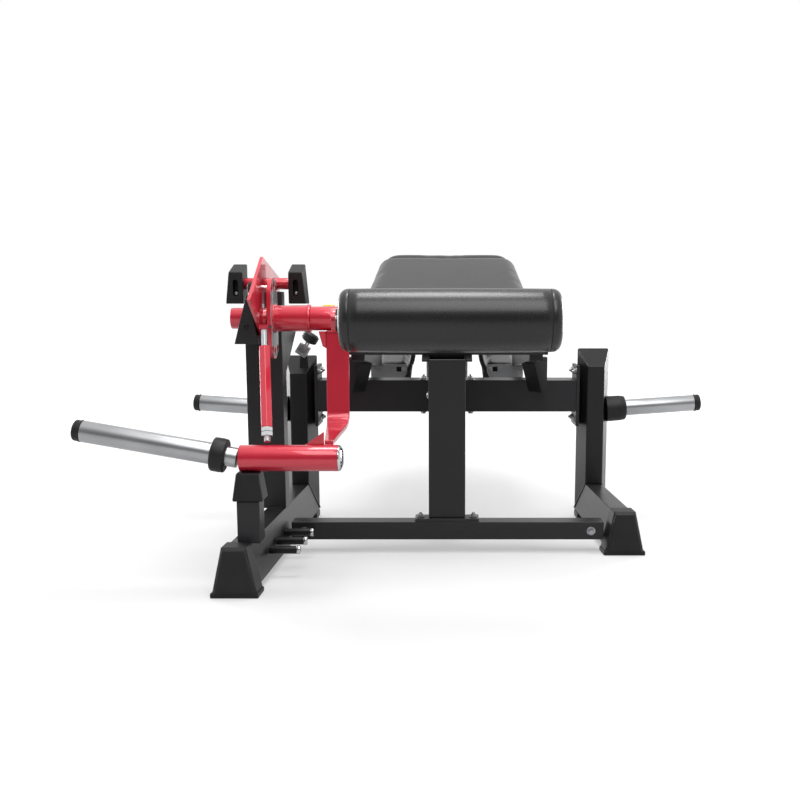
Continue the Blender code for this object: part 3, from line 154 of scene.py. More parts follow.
def gloss(tree, shader, factor, low, high):
    made = addNode(tree, "ShaderNodeMapRange", inputs={"To Min": low, "To Max": high}, links={"Value": factor})
    tree.links.new(made.outputs["Result"], shader.inputs["Roughness"])


def bump(tree, shader, height, strength, millimetres):
    made = addNode(tree, "ShaderNodeBump", inputs={"Strength": strength, "Distance": millimetres / 1000},
                   links={"Height": height})
    tree.links.new(made.outputs["Normal"], shader.inputs["Normal"])


def powderCoat():
    # powder coat on steel: fine orange peel, satin, edges a little paler, partly for rub wear and partly as a
    # painted edge highlight
    material, tree, shader, where = newMaterial("blackPowderCoat", "#121213", 0.32, ior=1.38)
    rubbedAndLitEdges = addNode(tree, "ShaderNodeNewGeometry").outputs["Pointiness"]
    # pointed edges painted paler: partly rub wear, partly a painted highlight
    edge = addNode(tree, "ShaderNodeMapRange", inputs={"From Min": 0.53, "From Max": 0.62}, links={"Value": rubbedAndLitEdges})
    mottled = tint(tree, None, grain(tree, where, 60, 3), "#101011", "#151516")
    both = addNode(tree, "ShaderNodeMix", {"data_type": "RGBA"}, links={0: edge.outputs["Result"], 6: mottled})
    both.inputs[7].default_value = linear("#343437")
    tree.links.new(both.outputs[2], shader.inputs["Base Color"])
    gloss(tree, shader, grain(tree, where, 8), 0.30, 0.40)
    bump(tree, shader, grain(tree, where, 2.4, 1), 0.08, 0.4)
    return material


def redPaint():
    # metallic base under clear coat: small flake, sharp highlights over a deep red
    material, tree, shader, where = newMaterial("redMetallicPaint", "#d01f39", 0.30, metal=0.25, coat=1.0,
                                                coatRough=0.05)
    flake = grain(tree, where, 0.9, 1)
    broad = grain(tree, where, 90, 2)
    mixed = addNode(tree, "ShaderNodeMath", {"operation": "MULTIPLY"}, links={0: flake, 1: broad}).outputs[0]
    tint(tree, shader, mixed, "#c51a32", "#da2440", 0.1, 0.45)
    gloss(tree, shader, flake, 0.24, 0.38)
    bump(tree, shader, grain(tree, where, 5, 1), 0.02, 0.3)
    return material


def plainMaterial(name, base, rough, tinted=None, glossed=None, bumped=None, **more):
    # each of the last three starts with its grain: millimetres, detail, stretch
    material, tree, shader, where = newMaterial(name, base, rough, **more)
    for change, given in ((tint, tinted), (gloss, glossed), (bump, bumped)):
        if given:
            change(tree, shader, grain(tree, where, *given[0]), *given[1:])
    return material


def paddedVinyl():
    # calendered vinyl over foam: leather-like pebbles drawn about 2 mm so that they show, soft wide gloss
    material, tree, shader, where = newMaterial("blackVinyl", "#1a1a1b", 0.33, ior=1.50)
    cells = addNode(tree, "ShaderNodeTexVoronoi", {"feature": "DISTANCE_TO_EDGE"},
                    {"Scale": 1000 / 2.2, "Randomness": 1.0}, {"Vector": where}).outputs["Distance"]
    pebble = addNode(tree, "ShaderNodeMapRange", inputs={"From Max": 0.16}, links={"Value": cells}).outputs[0]
    folds = grain(tree, where, 70, 4, rough=0.6)
    height = addNode(tree, "ShaderNodeMath", {"operation": "MULTIPLY_ADD"}, {1: 0.35},
                     {0: pebble, 2: folds}).outputs[0]
    tint(tree, shader, grain(tree, where, 120, 4), "#171718", "#1d1d1e")
    gloss(tree, shader, pebble, 0.36, 0.27)
    bump(tree, shader, height, 0.10, 0.5)
    return material


paint = powderCoat()
red = redPaint()
# turned stainless sleeve: rings round its length, dull streaks
turned = (1.2, 2, (1.0, 0.06, 0.06))
steel = plainMaterial("satinSteel", "#b2b2b4", 0.35, ((120, 2), "#a9aaac", "#babbbd"), (turned, 0.29, 0.41),
                      (turned, 0.06, 0.2), metal=1.0)
# bright plating: almost a mirror, a little cloudy in places
chrome = plainMaterial("polishedChrome", "#d8d9dc", 0.08, None, ((12, 3), 0.05, 0.14), metal=1.0)
# zinc plated fasteners: pale grey, uneven sheen
zinc = plainMaterial("zincPlate", "#a4a6a8", 0.36, ((6, 3), "#8f9194", "#b4b6b8"), ((4,), 0.28, 0.46), metal=0.9)
# pressed plate, brushed and lacquered: pale grey, soft gloss
brushed = (1.5, 2, (0.05, 1.0, 1.0))
plate = plainMaterial("brushedPlate", "#b6b7b9", 0.40, (brushed, "#a9aaac", "#c0c1c3"), (brushed, 0.34, 0.46),
                      metal=0.35)
# moulded rubber: dead black, matt, a fine eroded skin
rubber = plainMaterial("mouldedRubber", "#141416", 0.46, ((45, 3), "#111113", "#18181a"), ((5,), 0.44, 0.58),
                       ((1.6, 3), 0.22, 0.4), ior=1.42)
vinyl = paddedVinyl()
# the welt and stitching beside a seam: the same vinyl pulled tight, a little darker
seam = plainMaterial("seamVinyl", "#101011", 0.50, None, ((2,), 0.48, 0.62), ((1.5,), 0.3, 0.3), ior=1.5)
# plywood back covered in black cloth tape: rough, no gloss
board = plainMaterial("coveredBoard", "#121213", 0.65, ((3, 3), "#101010", "#171718"), None, ((1.4, 2), 0.25, 0.4))
# dipped grip: pale yellow, waxy, slightly mottled
yellow = plainMaterial("yellowPlastic", "#e2d85c", 0.42, ((8,), "#d8cc4a", "#ece36c"), ((3,), 0.36, 0.50), ior=1.46)
finishes = {"frame_paint": paint, "red_paint": red, "chrome": chrome, "steel": steel, "rubber": rubber,
            "vinyl": vinyl, "board": board}
slotOf = {part["node"]: part["material_slot"] for part in frame["record"]["subparts"]}
bodyOf = {node: body for body, names in frame["record"]["behaviour"]["bodies"].items() for node in names}
for nodeName, nodeObject in nodes.items():
    nodeObject.data.materials.clear()
    nodeObject.data.materials.append(finishes[slotOf[nodeName]])
print("materials made")


# shared ways of making a piece
def addPiece(name, bm, material, body, sharp=35, weighted=False, replaced=()):
    mesh = meshOf(name, bm)
    mesh.materials.append(material)
    mesh.shade_smooth()
    if sharp:
        mesh.set_sharp_from_angle(angle=math.radians(sharp))
    piece = linked(name, mesh)
    if weighted:
        even = piece.modifiers.new("even", "WEIGHTED_NORMAL")
        even.keep_sharp = True
    if replaced:
        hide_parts(*replaced)
    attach(piece, body)
    return piece


def camelOf(node):
    first, *rest = node.split("_")
    return first + "".join(word.capitalize() for word in rest)


def cadCopy(node, flatten=True):
    # the node's own mesh, its corners joined and its flat faces made one
    bm = bmesh.new()
    bm.from_mesh(nodes[node].data)
    bmesh.ops.remove_doubles(bm, verts=bm.verts, dist=weld)
    if flatten:
        bmesh.ops.dissolve_limit(bm, angle_limit=math.radians(1.5), verts=bm.verts, edges=bm.edges)
    return bm


def softened(name, width):
    # a CAD node again, with its sharp edges rounded
    bm = cadCopy(name)
    if name.endswith("upright"):
        top = [face for face in bm.faces if face.calc_center_median().z > 0.44 and 0.3 < face.normal.z < 0.95]
        bmesh.ops.inset_region(bm, faces=top, thickness=0.007, depth=-0.0015)
    easeEdges(bm, width)
    addPiece(camelOf(name) + "Body", bm, finishes[slotOf[name]], bodyOf[name], 40, True, (name,))


def spun(bm, profile, steps=72):
    # spins (along, radius) points round Z. Returns what it made
    before = set(bm.verts)
    points = [bm.verts.new((radius, 0, along)) for along, radius in profile]
    edges = [bm.edges.new(pair) for pair in zip(points, points[1:])]
    if profile[0][1] > 1e-6:
        edges.append(bm.edges.new((points[-1], points[0])))
    bmesh.ops.spin(bm, geom=points + edges, cent=(0, 0, 0), axis=(0, 0, 1), angle=math.tau, steps=steps,
                   use_merge=True)
    made = [v for v in bm.verts if v not in before]
    bmesh.ops.remove_doubles(bm, verts=made, dist=1e-6)
    made = [v for v in bm.verts if v not in before]
    bmesh.ops.recalc_face_normals(bm, faces=list({f for v in made for f in v.link_faces}))
    return made


def rounded(corners, radius, steps=3):
    # profile corners cut to small arcs, apart from the first and last
    out = [corners[0]]
    for before, corner, after in zip(corners, corners[1:], corners[2:]):
        a = Vector(before) - Vector(corner)
        b = Vector(after) - Vector(corner)
        reach = min(radius, a.length * 0.45, b.length * 0.45)
        start = Vector(corner) + a.normalized() * reach
        stop = Vector(corner) + b.normalized() * reach
        for i in range(steps + 1):
            t = i / steps
            first = start.lerp(Vector(corner), t)
            second = Vector(corner).lerp(stop, t)
            out.append(tuple(first.lerp(second, t)))
    out.append(corners[-1])
    return out


def placed(bm, verts, start, direction):
    turn = Vector(direction).to_track_quat("Z", "Y").to_matrix().to_4x4()
    bmesh.ops.transform(bm, matrix=Matrix.Translation(Vector(start)) @ turn, verts=verts)


def turnedPiece(name, start, direction, corners, material, body, replaced=(), edge=0.0012, steps=72):
    bm = bmesh.new()
    placed(bm, spun(bm, rounded(corners, edge), steps), start, direction)
    return addPiece(name, bm, material, body, 50, False, replaced)


def tubeCorners(length, outer, bore=0.0):
    if bore > 0:
        return [(0.0008, bore), (0, bore), (0, outer), (length, outer), (length, bore), (length - 0.0008, bore)]
    return [(0, 0), (0, outer), (length, outer), (length, 0)]


def tubeOn(name, node, material, body, edge, bore=0.0):
    # a bar or a tube in the place of a node that lies along X
    middle, low, high = middleOf(node)
    turnedPiece(name, (low.x, middle.y, middle.z), (1, 0, 0),
                tubeCorners(high.x - low.x, (high.z - low.z) / 2, bore), material, body, (node,), edge)


def atDesign(x, y, z):
    # a place given from the bench's mid-plane, from 19 mm behind the axle, and from the floor
    return Vector((midX + x, axleAt.y + 0.019 + y, z))


def addBlock(bm, low, high):
    size = high - low
    place = Matrix.Translation((low + high) / 2) @ Matrix.Diagonal((*size, 1))
    return bmesh.ops.create_cube(bm, size=1, matrix=place)["verts"]


def pushOut(bm, faces, travel):
    made = bmesh.ops.extrude_face_region(bm, geom=faces)["geom"]
    bmesh.ops.translate(bm, vec=travel, verts=[v for v in made if isinstance(v, bmesh.types.BMVert)])
    bmesh.ops.recalc_face_normals(bm, faces=bm.faces)


def addSlab(bm, outline, travel):
    # an outline drawn out along travel
    pushOut(bm, [bm.faces.new([bm.verts.new(point) for point in outline])], travel)


def bevelled(bm, edges, width, segments, clamp=False):
    bmesh.ops.bevel(bm, geom=edges, offset=width, segments=segments, profile=0.5, affect="EDGES",
                    clamp_overlap=clamp, material=-1)


def easeEdges(bm, width, segments=2):
    hard = [e for e in bm.edges if len(e.link_faces) == 2 and e.calc_face_angle(0) > math.radians(22)]
    bevelled(bm, hard, width, segments, True)


def evaluated(piece):
    # its mesh with the modifiers on it
    graph = bpy.context.evaluated_depsgraph_get()
    return bpy.data.meshes.new_from_object(piece.evaluated_get(graph))


def carve(piece, cutter):
    # takes a shape out of a piece, and keeps what is left as plain mesh
    bmesh.ops.recalc_face_normals(cutter, faces=cutter.faces)
    tool = linked("carver", meshOf("carver", cutter))
    piece.modifiers.clear()
    cutting = piece.modifiers.new("carving", "BOOLEAN")
    cutting.object = tool
    cutting.solver = "EXACT"
    piece.data = evaluated(piece)
    piece.modifiers.clear()
    bpy.data.objects.remove(tool, do_unlink=True)
    even = piece.modifiers.new("even", "WEIGHTED_NORMAL")
    even.keep_sharp = True


def addBead(bm, points, s):
    # a rippled bead along a line of points
    route = []
    for a, b in zip(points, points[1:]):
        count = max(1, int((b - a).length / (s["pitch"] / 4)))
        route += [a.lerp(b, i / count) for i in range(count)]
    route.append(points[-1])
    rings = []
    travelled = 0.0
    for i, point in enumerate(route):
        ahead = (route[min(i + 1, len(route) - 1)] - route[max(i - 1, 0)]).normalized()
        helper = Vector((0, 0, 1)) if abs(ahead.z) < 0.9 else Vector((1, 0, 0))
        across = ahead.cross(helper).normalized()
        up = across.cross(ahead)
        if i:
            travelled += (point - route[i - 1]).length
        radius = s["radius"] * (1 + s["ripple"] * math.sin(math.tau * travelled / s["pitch"]))
        if i in (0, len(route) - 1):
            radius *= 0.5
        angles = [math.tau * k / s["sides"] for k in range(s["sides"])]
        rings.append([bm.verts.new(point + (across * math.cos(angle) + up * math.sin(angle)) * radius)
                      for angle in angles])
    for near, far in zip(rings, rings[1:]):
        for k in range(s["sides"]):
            n = (k + 1) % s["sides"]
            bm.faces.new((near[k], near[n], far[n], far[k]))
    bm.faces.new(rings[0][::-1])
    bm.faces.new(rings[-1])


# frame members with rounded edges
memberEdges = {
    "right_leg": 0.0035, "left_leg": 0.0035, "right_upright": 0.0035, "left_upright": 0.0035, "upper_beam": 0.0035,
    "base_cross_tube": 0.0030, "centre_post": 0.0035, "spine_rail": 0.0035, "head_strut": 0.0030,
    "handle_clamp": 0.0030, "left_column": 0.0035, "bumper_post": 0.0030, "bumper_cap": 0.0045,
    "beam_plate_left": 0.0012, "beam_plate_right": 0.0012, "post_flange": 0.0012, "pad_bracket_left": 0.0020,
    "pad_bracket_right": 0.0020, "bearing_block": 0.0018, "head_plate": 0.0011, "hole_plate": 0.0014,
    "thigh_board": 0.0025, "torso_board": 0.0025, "left_rear_foot": 0.0025, "right_rear_foot": 0.0025,
    "arm_plate": 0.0016, "roller_arm": 0.0014,
}
for memberName, edgeWidth in memberEdges.items():
    softened(memberName, edgeWidth)

# moulded boots and stop blocks
mouldSet = {"chamfer": 0.0078, "chamferAbove": 0.020, "bodyLow": 0.008, "lipOut": 0.003, "lipHigh": 0.012,
            "crease": 0.50, "creaseEase": 0.0009, "lean": 0.0030, "leanReach": 0.012, "ease": 0.0022,
            "slotWidth": 0.015, "slotLow": 0.020, "slotHigh": 0.066, "slotDepth": 0.026, "slotBolt": 0.0058,
            "slotShift": 0.004, "boltLength": 0.016, "boltTip": 0.002, "boltRise": 0.002}


def makeBoot(node, s):
    # boot with a lip, chamfered sides and a crease across its front
    points = [vert.co for vert in nodes[node].data.vertices]
    _, low, high = middleOf(node)
    front = [p for p in points if p.y < low.y + close]
    back = [p for p in points if p.y > high.y - close]
    top = [p.x for p in front if p.z > high.z - close]
    frontX = (min(p.x for p in front) + max(p.x for p in front)) / 2
    skew = (min(p.x for p in back) + max(p.x for p in back)) / 2 - frontX
    lip = (max(p.x for p in front) - min(p.x for p in front)) / 2
    narrow = (max(top) - min(top)) / 2
    travel = Vector((skew, high.y - low.y, 0))
    bm = bmesh.new()
    wide = lip - s["lipOut"]
    addSlab(bm, [Vector((frontX + x, low.y, z)) for x, z in
                 ((-wide, s["bodyLow"]), (wide, s["bodyLow"]), (narrow, high.z), (-narrow, high.z))], travel)
    broad = [edge for edge in bm.edges if max(v.co.y for v in edge.verts) < low.y + close
             and max(v.co.z for v in edge.verts) > s["chamferAbove"]]
    bevelled(bm, broad, s["chamfer"], 1)
    crease = high.z * s["crease"]
    bmesh.ops.bisect_plane(bm, geom=bm.verts[:] + bm.edges[:] + bm.faces[:], plane_co=(0, 0, crease),
                           plane_no=(0, 0, 1))
    for vert in bm.verts:
        if vert.co.z > crease and vert.co.y < low.y + s["leanReach"]:
            vert.co.y += s["lean"] * (vert.co.z - crease) / (high.z - crease)
    easeEdges(bm, s["creaseEase"], 1)
    lipPiece = bmesh.new()
    addSlab(lipPiece, [Vector((frontX + x, low.y, z)) for x, z in
                       ((-lip, 0), (lip, 0), (lip, s["lipHigh"]), (-lip, s["lipHigh"]))], travel)
    easeEdges(lipPiece, s["ease"])
    bm.from_mesh(meshOf("lip", lipPiece))
    addPiece(node.split("_")[0] + "BootBody", bm, rubber, "frame", 8, True, (node,))


def slotOutline(middle, s, front, lowZ):
    # a round-ended upright slot in a front face
    half = s["slotWidth"] / 2
    outline = []
    for centreZ, start in ((lowZ + s["slotHigh"] - half, 0.0), (lowZ + s["slotLow"] + half, math.pi)):
        for i in range(13):
            angle = start + math.pi * i / 12
            outline.append(Vector((middle + half * math.cos(angle), front, centreZ + half * math.sin(angle))))
    return outline


def makeStopBlock(side, label, node, s):
    bm = cadCopy(node, False)
    easeEdges(bm, s["ease"] * 1.4, 3)
    block = addPiece("stopBlock" + label, bm, rubber, "frame", 35, True, (node,))
    middle, low, _ = middleOf(node)
    slotX = middle.x - side * s["slotShift"]
    cutter = bmesh.new()
    addSlab(cutter, slotOutline(slotX, s, low.y - 0.005, low.z), Vector((0, s["slotDepth"] + 0.005, 0)))
    carve(block, cutter)
    bolt, long = s["slotBolt"], s["boltLength"]
    tip = long + s["boltTip"]
    at = (slotX, low.y + s["slotDepth"] - close, low.z + s["slotLow"] + bolt + s["boltRise"])
    turnedPiece("stopBolt" + label, at, (0, -1, 0), [(0, 0), (0, bolt), (long, bolt), (tip, bolt * 0.6), (tip, 0)],
                zinc, "frame", (), 0.001, 32)


def makeHolePlateFace(rim, thick):
    # bare steel face of the hole plate, inside a painted rim
    bm = cadCopy("hole_plate", False)
    _, _, high = middleOf("hole_plate")
    other = [face for face in bm.faces if face.normal.x < 0.95 or face.calc_center_median().x < high.x - close]
    bmesh.ops.delete(bm, geom=other, context="FACES")
    bmesh.ops.inset_region(bm, faces=bm.faces[:], thickness=rim, use_boundary=True)
    outer = [face for face in bm.faces if any(edge.is_boundary for edge in face.edges)]
    bmesh.ops.delete(bm, geom=outer, context="FACES")
    pushOut(bm, bm.faces[:], (thick, 0, 0))
    bmesh.ops.translate(bm, vec=(0.0001, 0, 0), verts=bm.verts)
    addPiece("holePlateFace", bm, steel, "weight_arm", 35)


makeHolePlateFace(0.0030, 0.0003)
makeBoot("left_front_foot", mouldSet)
makeBoot("right_front_foot", mouldSet)
for stopSide, stopLabel in bothSides:
    makeStopBlock(stopSide, stopLabel, "stop_block_" + stopLabel.lower(), mouldSet)
print("frame members made")

# knee axle, housing, hub
axleSet = {"axleEdge": 0.0015, "boreWall": 0.0055, "collarOut": 0.0025, "collarLength": 0.008}


def makeAxle(s):
    _, low, high = middleOf("axle_housing")
    shaft = (axleHigh.z - axleLow.z) / 2
    tubeOn("axleHousingTube", "axle_housing", red, "frame", 0.0015, bore=(high.z - low.z) / 2 - s["boreWall"])
    for name, label in (("bearing_outer", "bearingOuterRing"), ("bearing_inner", "bearingInnerRing")):
        tubeOn(label, name, steel, "frame", 0.0008, bore=shaft + 0.0004)
    tubeOn("kneeAxleShaft", "knee_axle", steel, "weight_arm", s["axleEdge"])
    _, hubLow, hubHigh = middleOf("weight_hub")
    collar = (hubHigh.z - hubLow.z) / 2
    hub = collar - s["collarOut"]
    length = hubHigh.x - hubLow.x
    step = length - s["collarLength"]
    bore = shaft + gap
    turnedPiece("weightHubTube", (hubLow.x, axleAt.y, axleAt.z), (1, 0, 0),
                [(0.0008, bore), (0, bore), (0, hub), (step, hub), (step, collar), (length, collar), (length, bore),
                 (length - 0.0008, bore)], red, "weight_arm", ("weight_hub",), 0.0016)
    tubeOn("armTubeSleeve", "arm_tube", red, "weight_arm", 0.0015, bore=bore)


makeAxle(axleSet)

# lower tube, its cap, the weight horn
hornSet = {"tilt": 10.0, "neck": 0.024, "neckLength": 0.026, "collarLength": 0.036, "sleeve": 0.310,
           "radius": 0.0262, "collar": 0.041, "wall": 0.004,
           # push-on end cap with a raised rim and a dished face
           "cap": ((0, 0), (0, 0.0268), (0.0035, 0.0268), (0.0045, 0.0256), (0.016, 0.0254), (0.020, 0.0208),
                   (0.020, 0.0158), (0.018, 0.0128), (0.018, 0))}


def hornCap(name, start, out, body, replaced=()):
    turnedPiece(name, start, out, hornSet["cap"], rubber, body, replaced, 0.002)


def makeWeightHorn(s):
    middle, low, high = middleOf("lower_tube")
    radius = (high.z - low.z) / 2
    tubeOn("lowerTubeSleeve", "lower_tube", red, "weight_arm", 0.0012, radius - s["wall"])
    _, capLow, capHigh = middleOf("lower_tube_cap")
    depth = capHigh.x - capLow.x
    dome = [(0, 0)]
    for i in range(13):
        angle = math.pi / 2 * i / 12
        dome.append((depth * 1.15 * math.sin(angle), radius * 0.985 * math.cos(angle)))
    turnedPiece("lowerTubeDome", (capLow.x, middle.y, middle.z), (1, 0, 0), dome, chrome, "weight_arm",
                ("lower_tube_cap",), 0.0004)
    angle = math.radians(s["tilt"])
    out = Vector((-math.cos(angle), 0, math.sin(angle)))
    root = Vector((low.x - radius * math.sin(angle) - gap * 2, middle.y, middle.z))
    neck, sleeve = s["neck"], s["radius"]
    neckEnd = s["neckLength"] + s["collarLength"]
    end = neckEnd + s["sleeve"]
    corners = [(0, 0), (0, neck), (neckEnd, neck), (neckEnd, sleeve), (end, sleeve), (end, 0)]
    turnedPiece("weightHornSleeve", root, out, corners, steel, "weight_arm", ("weight_horn",), 0.0012)
    length = s["collarLength"] - gap
    outer, bore = s["collar"], neck + gap
    step = length * 0.30
    corners = [(0.001, bore), (0, bore), (0, outer - 0.004), (0.003, outer - 0.0005), (step, outer - 0.0004),
               (step, outer), (length - 0.004, outer), (length, outer - 0.004), (length, bore),
               (length - 0.001, bore)]
    turnedPiece("hornCollarRing", root + out * s["neckLength"], out, corners, rubber, "weight_arm",
                ("horn_collar",), 0.0025)
    hornCap("weightHornCap", root + out * (end + gap), out, "weight_arm", ("horn_cap",))


makeWeightHorn(hornSet)

# storage horns: rubber spacer, steel sleeve, cap
storeSet = {"tilt": 4.0, "spacer": 0.040, "spacerLength": 0.062, "sleeve": 0.025, "length": 0.276,
            "sink": 0.016, "row": 0.475, "taper": 0.024, "cutReach": 0.08}


def makeStorageHorn(side, label, s):
    node = "storage_horn_" + label.lower()
    _, low, _ = middleOf(node)
    upright, uprightLow, uprightHigh = middleOf(label.lower() + "_upright")
    angle = math.radians(s["tilt"])
    out = Vector((side * math.cos(angle), 0, math.sin(angle)))
    lean = s["spacer"] * math.sin(angle)
    wide = (uprightHigh.x - uprightLow.x) / 2
    root = Vector((upright.x + side * (wide + lean + gap - s["sink"]), atDesign(0, s["row"], 0).y,
                   low.z + s["spacer"] * math.cos(angle)))
    step, r = s["spacerLength"], s["spacer"]
    turnedPiece("storageSleeve" + label, root + out * step * 0.5, out,
                tubeCorners(s["length"] - step * 0.5, s["sleeve"]), steel, "frame", (node,), 0.001)
    corners = [(0, 0), (0, r), (step * 0.70, r * 0.98), (step * 0.92, r * 0.93), (step, r * 0.80), (step, 0)]
    spacer = turnedPiece("storageSpacer" + label, root, out, corners, rubber, "frame", (), 0.002)
    # its foot is cut to the upright's sloping side
    cutter = bmesh.new()
    narrow = wide - s["taper"]
    outline = [Vector((upright.x + x, y, root.z - s["cutReach"])) for x, y in
               ((-narrow, uprightLow.y), (narrow, uprightLow.y), (wide, uprightHigh.y), (-wide, uprightHigh.y))]
    addSlab(cutter, outline, Vector((0, 0, s["cutReach"] * 2)))
    carve(spacer, cutter)
    hornCap("storageCap" + label, root + out * (s["length"] + gap), out, "frame")


for hornSide, hornLabel in bothSides:
    makeStorageHorn(hornSide, hornLabel, storeSet)

# turnbuckle: hexagon body, threaded rods, jam nuts
turnSet = {"body": 0.0150, "rod": 0.0075, "nut": 0.010, "bodyStart": 0.17, "bodyEnd": 0.885, "topX": -0.4565,
           "topY": -0.115, "topZ": 0.618, "footX": -0.4270, "threadPitch": 0.0025, "hole": 0.0024}


def makeTurnbuckle(s):
    _, low, high = middleOf("lower_tube")
    top = atDesign(s["topX"], s["topY"], s["topZ"])
    foot = Vector((s["footX"] + midX, (low.y + high.y) / 2, high.z + s["rod"]))
    along = foot - top
    length = along.length
    out = along.normalized()
    bodyStart = length * s["bodyStart"]
    bodyEnd = length * s["bodyEnd"]
    bm = bmesh.new()
    hexagon = bmesh.ops.create_circle(bm, cap_ends=True, radius=s["body"], segments=6)["verts"]
    pushOut(bm, list({face for vert in hexagon for face in vert.link_faces}), (0, 0, bodyEnd - bodyStart))
    bevelled(bm, list(bm.edges), 0.0014, 3)
    placed(bm, list(bm.verts), top + out * bodyStart, out)
    addPiece("turnbuckleBody", bm, red, "weight_arm", 50, True, ("turnbuckle",))
    bm = bmesh.new()
    pitch, crest = s["threadPitch"], s["rod"]
    root = crest * 0.9
    for start, end in ((crest * 0.5, bodyStart), (bodyEnd, length)):
        corners = [(start, 0), (start, root)]
        for i in range(int((end - start) / pitch)):
            corners += [(start + i * pitch + pitch * 0.5, crest), (start + i * pitch + pitch, root)]
        placed(bm, spun(bm, corners + [(end, root), (end, 0)], 24), top, out)
    for start in (bodyEnd + 0.0006, bodyEnd + s["nut"] * 1.2):
        nut = bmesh.ops.create_cone(bm, cap_ends=True, segments=6, radius1=s["body"], radius2=s["body"],
                                    depth=s["nut"])["verts"]
        bmesh.ops.translate(bm, vec=(0, 0, start + s["nut"] / 2), verts=nut)
        placed(bm, nut, top, out)
    addPiece("turnbuckleRods", bm, chrome, "weight_arm", 40)
    # a flat dark rubber disc on the body's face: painted shade standing in for a hole
    mark = top + out * (bodyStart + (bodyEnd - bodyStart) * 0.48) + Vector((0, -s["body"] * 0.866, 0))
    turnedPiece("turnbuckleHoleShade", mark, (0, -1, 0), tubeCorners(0.0005, s["hole"]), rubber, "weight_arm", (),
                0.0001, 24)


makeTurnbuckle(turnSet)

# small round parts
pegSet = {"radius": 0.010, "end": 0.009, "endRadius": 0.011}
pinSet = {"rod": 0.0075, "inside": 0.004, "knob": 0.036,
          "corners": ((0, 0), (0, 0.011), (0.004, 0.0118), (0.008, 0.0165), (0.014, 0.0170), (0.030, 0.0165),
                      (0.036, 0.0115), (0.036, 0))}


def makePegs(s):
    for number in "123":
        middle, low, high = middleOf("band_peg_" + number)
        shaft = high.x - low.x - s["end"] - gap
        turnedPiece("bandPeg" + number, (low.x, middle.y, middle.z), (1, 0, 0), tubeCorners(shaft, s["radius"]),
                    paint, "frame", ("band_peg_" + number,), 0.001, 48)
        turnedPiece("bandPegEnd" + number, (high.x - s["end"], middle.y, middle.z), (1, 0, 0),
                    tubeCorners(s["end"], s["endRadius"]), chrome, "frame", (), 0.0022, 48)


def makeLockPin(s):
    middle, low, high = middleOf("lock_pin")
    rod = high.x - low.x - s["knob"]
    start = Vector((high.x, middle.y, middle.z))
    turnedPiece("lockPinRod", start, (-1, 0, 0), tubeCorners(rod + s["inside"], s["rod"]), chrome, "lock_pin", (),
                0.001, 48)
    turnedPiece("lockPinKnob", start - Vector((rod, 0, 0)), (-1, 0, 0), s["corners"], rubber, "lock_pin",
                ("lock_pin",), 0.003, 48)


tubeOn("stopTubeBar", "stop_tube", red, "frame", 0.001)
makePegs(pegSet)
makeLockPin(pinSet)

# fasteners
boltSet = {"head": 0.0085, "headHeight": 0.0055, "washer": 0.0118, "washerHeight": 0.0016, "tip": 0.0045,
           "tipLength": 0.005, "beamX": 0.074, "beamRows": (0.017, 0.080), "plateIn": 0.020, "baseIn": 0.035}


def addBolt(bm, at, out, s, nut=False):
    # hexagon head on a washer, or a nut with the end of its thread
    before = set(bm.verts)
    height = 0
    rings = [(24, s["washer"], s["washer"], s["washerHeight"]), (6, s["head"], s["head"], s["headHeight"])]
    if nut:
        rings.append((16, s["tip"], s["tip"] * 0.85, s["tipLength"]))
    for segments, base, top, depth in rings:
        ring = bmesh.ops.create_cone(bm, cap_ends=True, segments=segments, radius1=base, radius2=top,
                                     depth=depth)["verts"]
        bmesh.ops.translate(bm, vec=(0, 0, height + depth / 2), verts=ring)
        height += depth
        if segments == 6:
            bevelled(bm, list({e for v in ring for e in v.link_edges}), 0.0006, 2)
    placed(bm, [v for v in bm.verts if v not in before], Vector(at) + Vector(out) * 0.0001, out)


def makeFrameBolts(s):
    bm = bmesh.new()
    _, low, high = middleOf("upper_beam")
    for side, _ in bothSides:
        for along in s["beamRows"]:
            addBolt(bm, (midX + side * s["beamX"], low.y + along, high.z), (0, 0, 1), s, nut=True)
            addBolt(bm, (midX + side * s["beamX"], low.y + along, low.z), (0, 0, -1), s)
    for node, side in (("beam_plate_left", 1), ("beam_plate_right", -1)):
        _, low, high = middleOf(node)
        for z in (low.z + s["plateIn"], high.z - s["plateIn"]):
            for y in (low.y + s["plateIn"], high.y - s["plateIn"]):
                addBolt(bm, (high.x if side > 0 else low.x, y, z), (side, 0, 0), s, nut=True)
    middle, low, high = middleOf("base_cross_tube")
    for x in (low.x + s["baseIn"], high.x - s["baseIn"]):
        addBolt(bm, (x, low.y, middle.z), (0, -1, 0), s)
    addPiece("frameBolts", bm, zinc, "frame", 35)
    for node in ("flange_bolt_left", "flange_bolt_right", "block_bolt"):
        middle, low, high = middleOf(node)
        bm = bmesh.new()
        if node == "block_bolt":
            made = spun(bm, rounded([(0, 0), (0, 0.0072), (0.0035, 0.0068), (0.0046, 0.0045), (0.0046, 0.0035),
                                     (0.0018, 0.0032), (0.0018, 0)], 0.0008), 32)
            placed(bm, made, (middle.x, high.y + gap, middle.z), (0, -1, 0))
        else:
            addBolt(bm, (middle.x, middle.y, low.z - gap), (0, 0, 1), s, nut=True)
        addPiece(camelOf(node) + "Head", bm, rubber if node == "block_bolt" else zinc, "frame", 35, False, (node,))


makeFrameBolts(boltSet)
print("turned parts and fasteners made")

# cushions
benchSet = {"nearZ": 0.626, "nearY": 0.045, "kneeWidth": 0.544, "hipWidth": 0.450, "headWidth": 0.300,
            "thick": 0.070, "thighLength": 0.620, "thighSlope": 19.6, "torsoLength": 0.540, "torsoSlope": -14.0,
            "hipStep": 0.0298, "board": 0.0226, "shoulder": 0.046, "voxel": 0.0065, "inset": 0.0045, "cap": 0.008}
clothSet = {"pressure": 4.0, "quality": 5, "frames": 20, "underside": 0.012, "smoothing": 3}


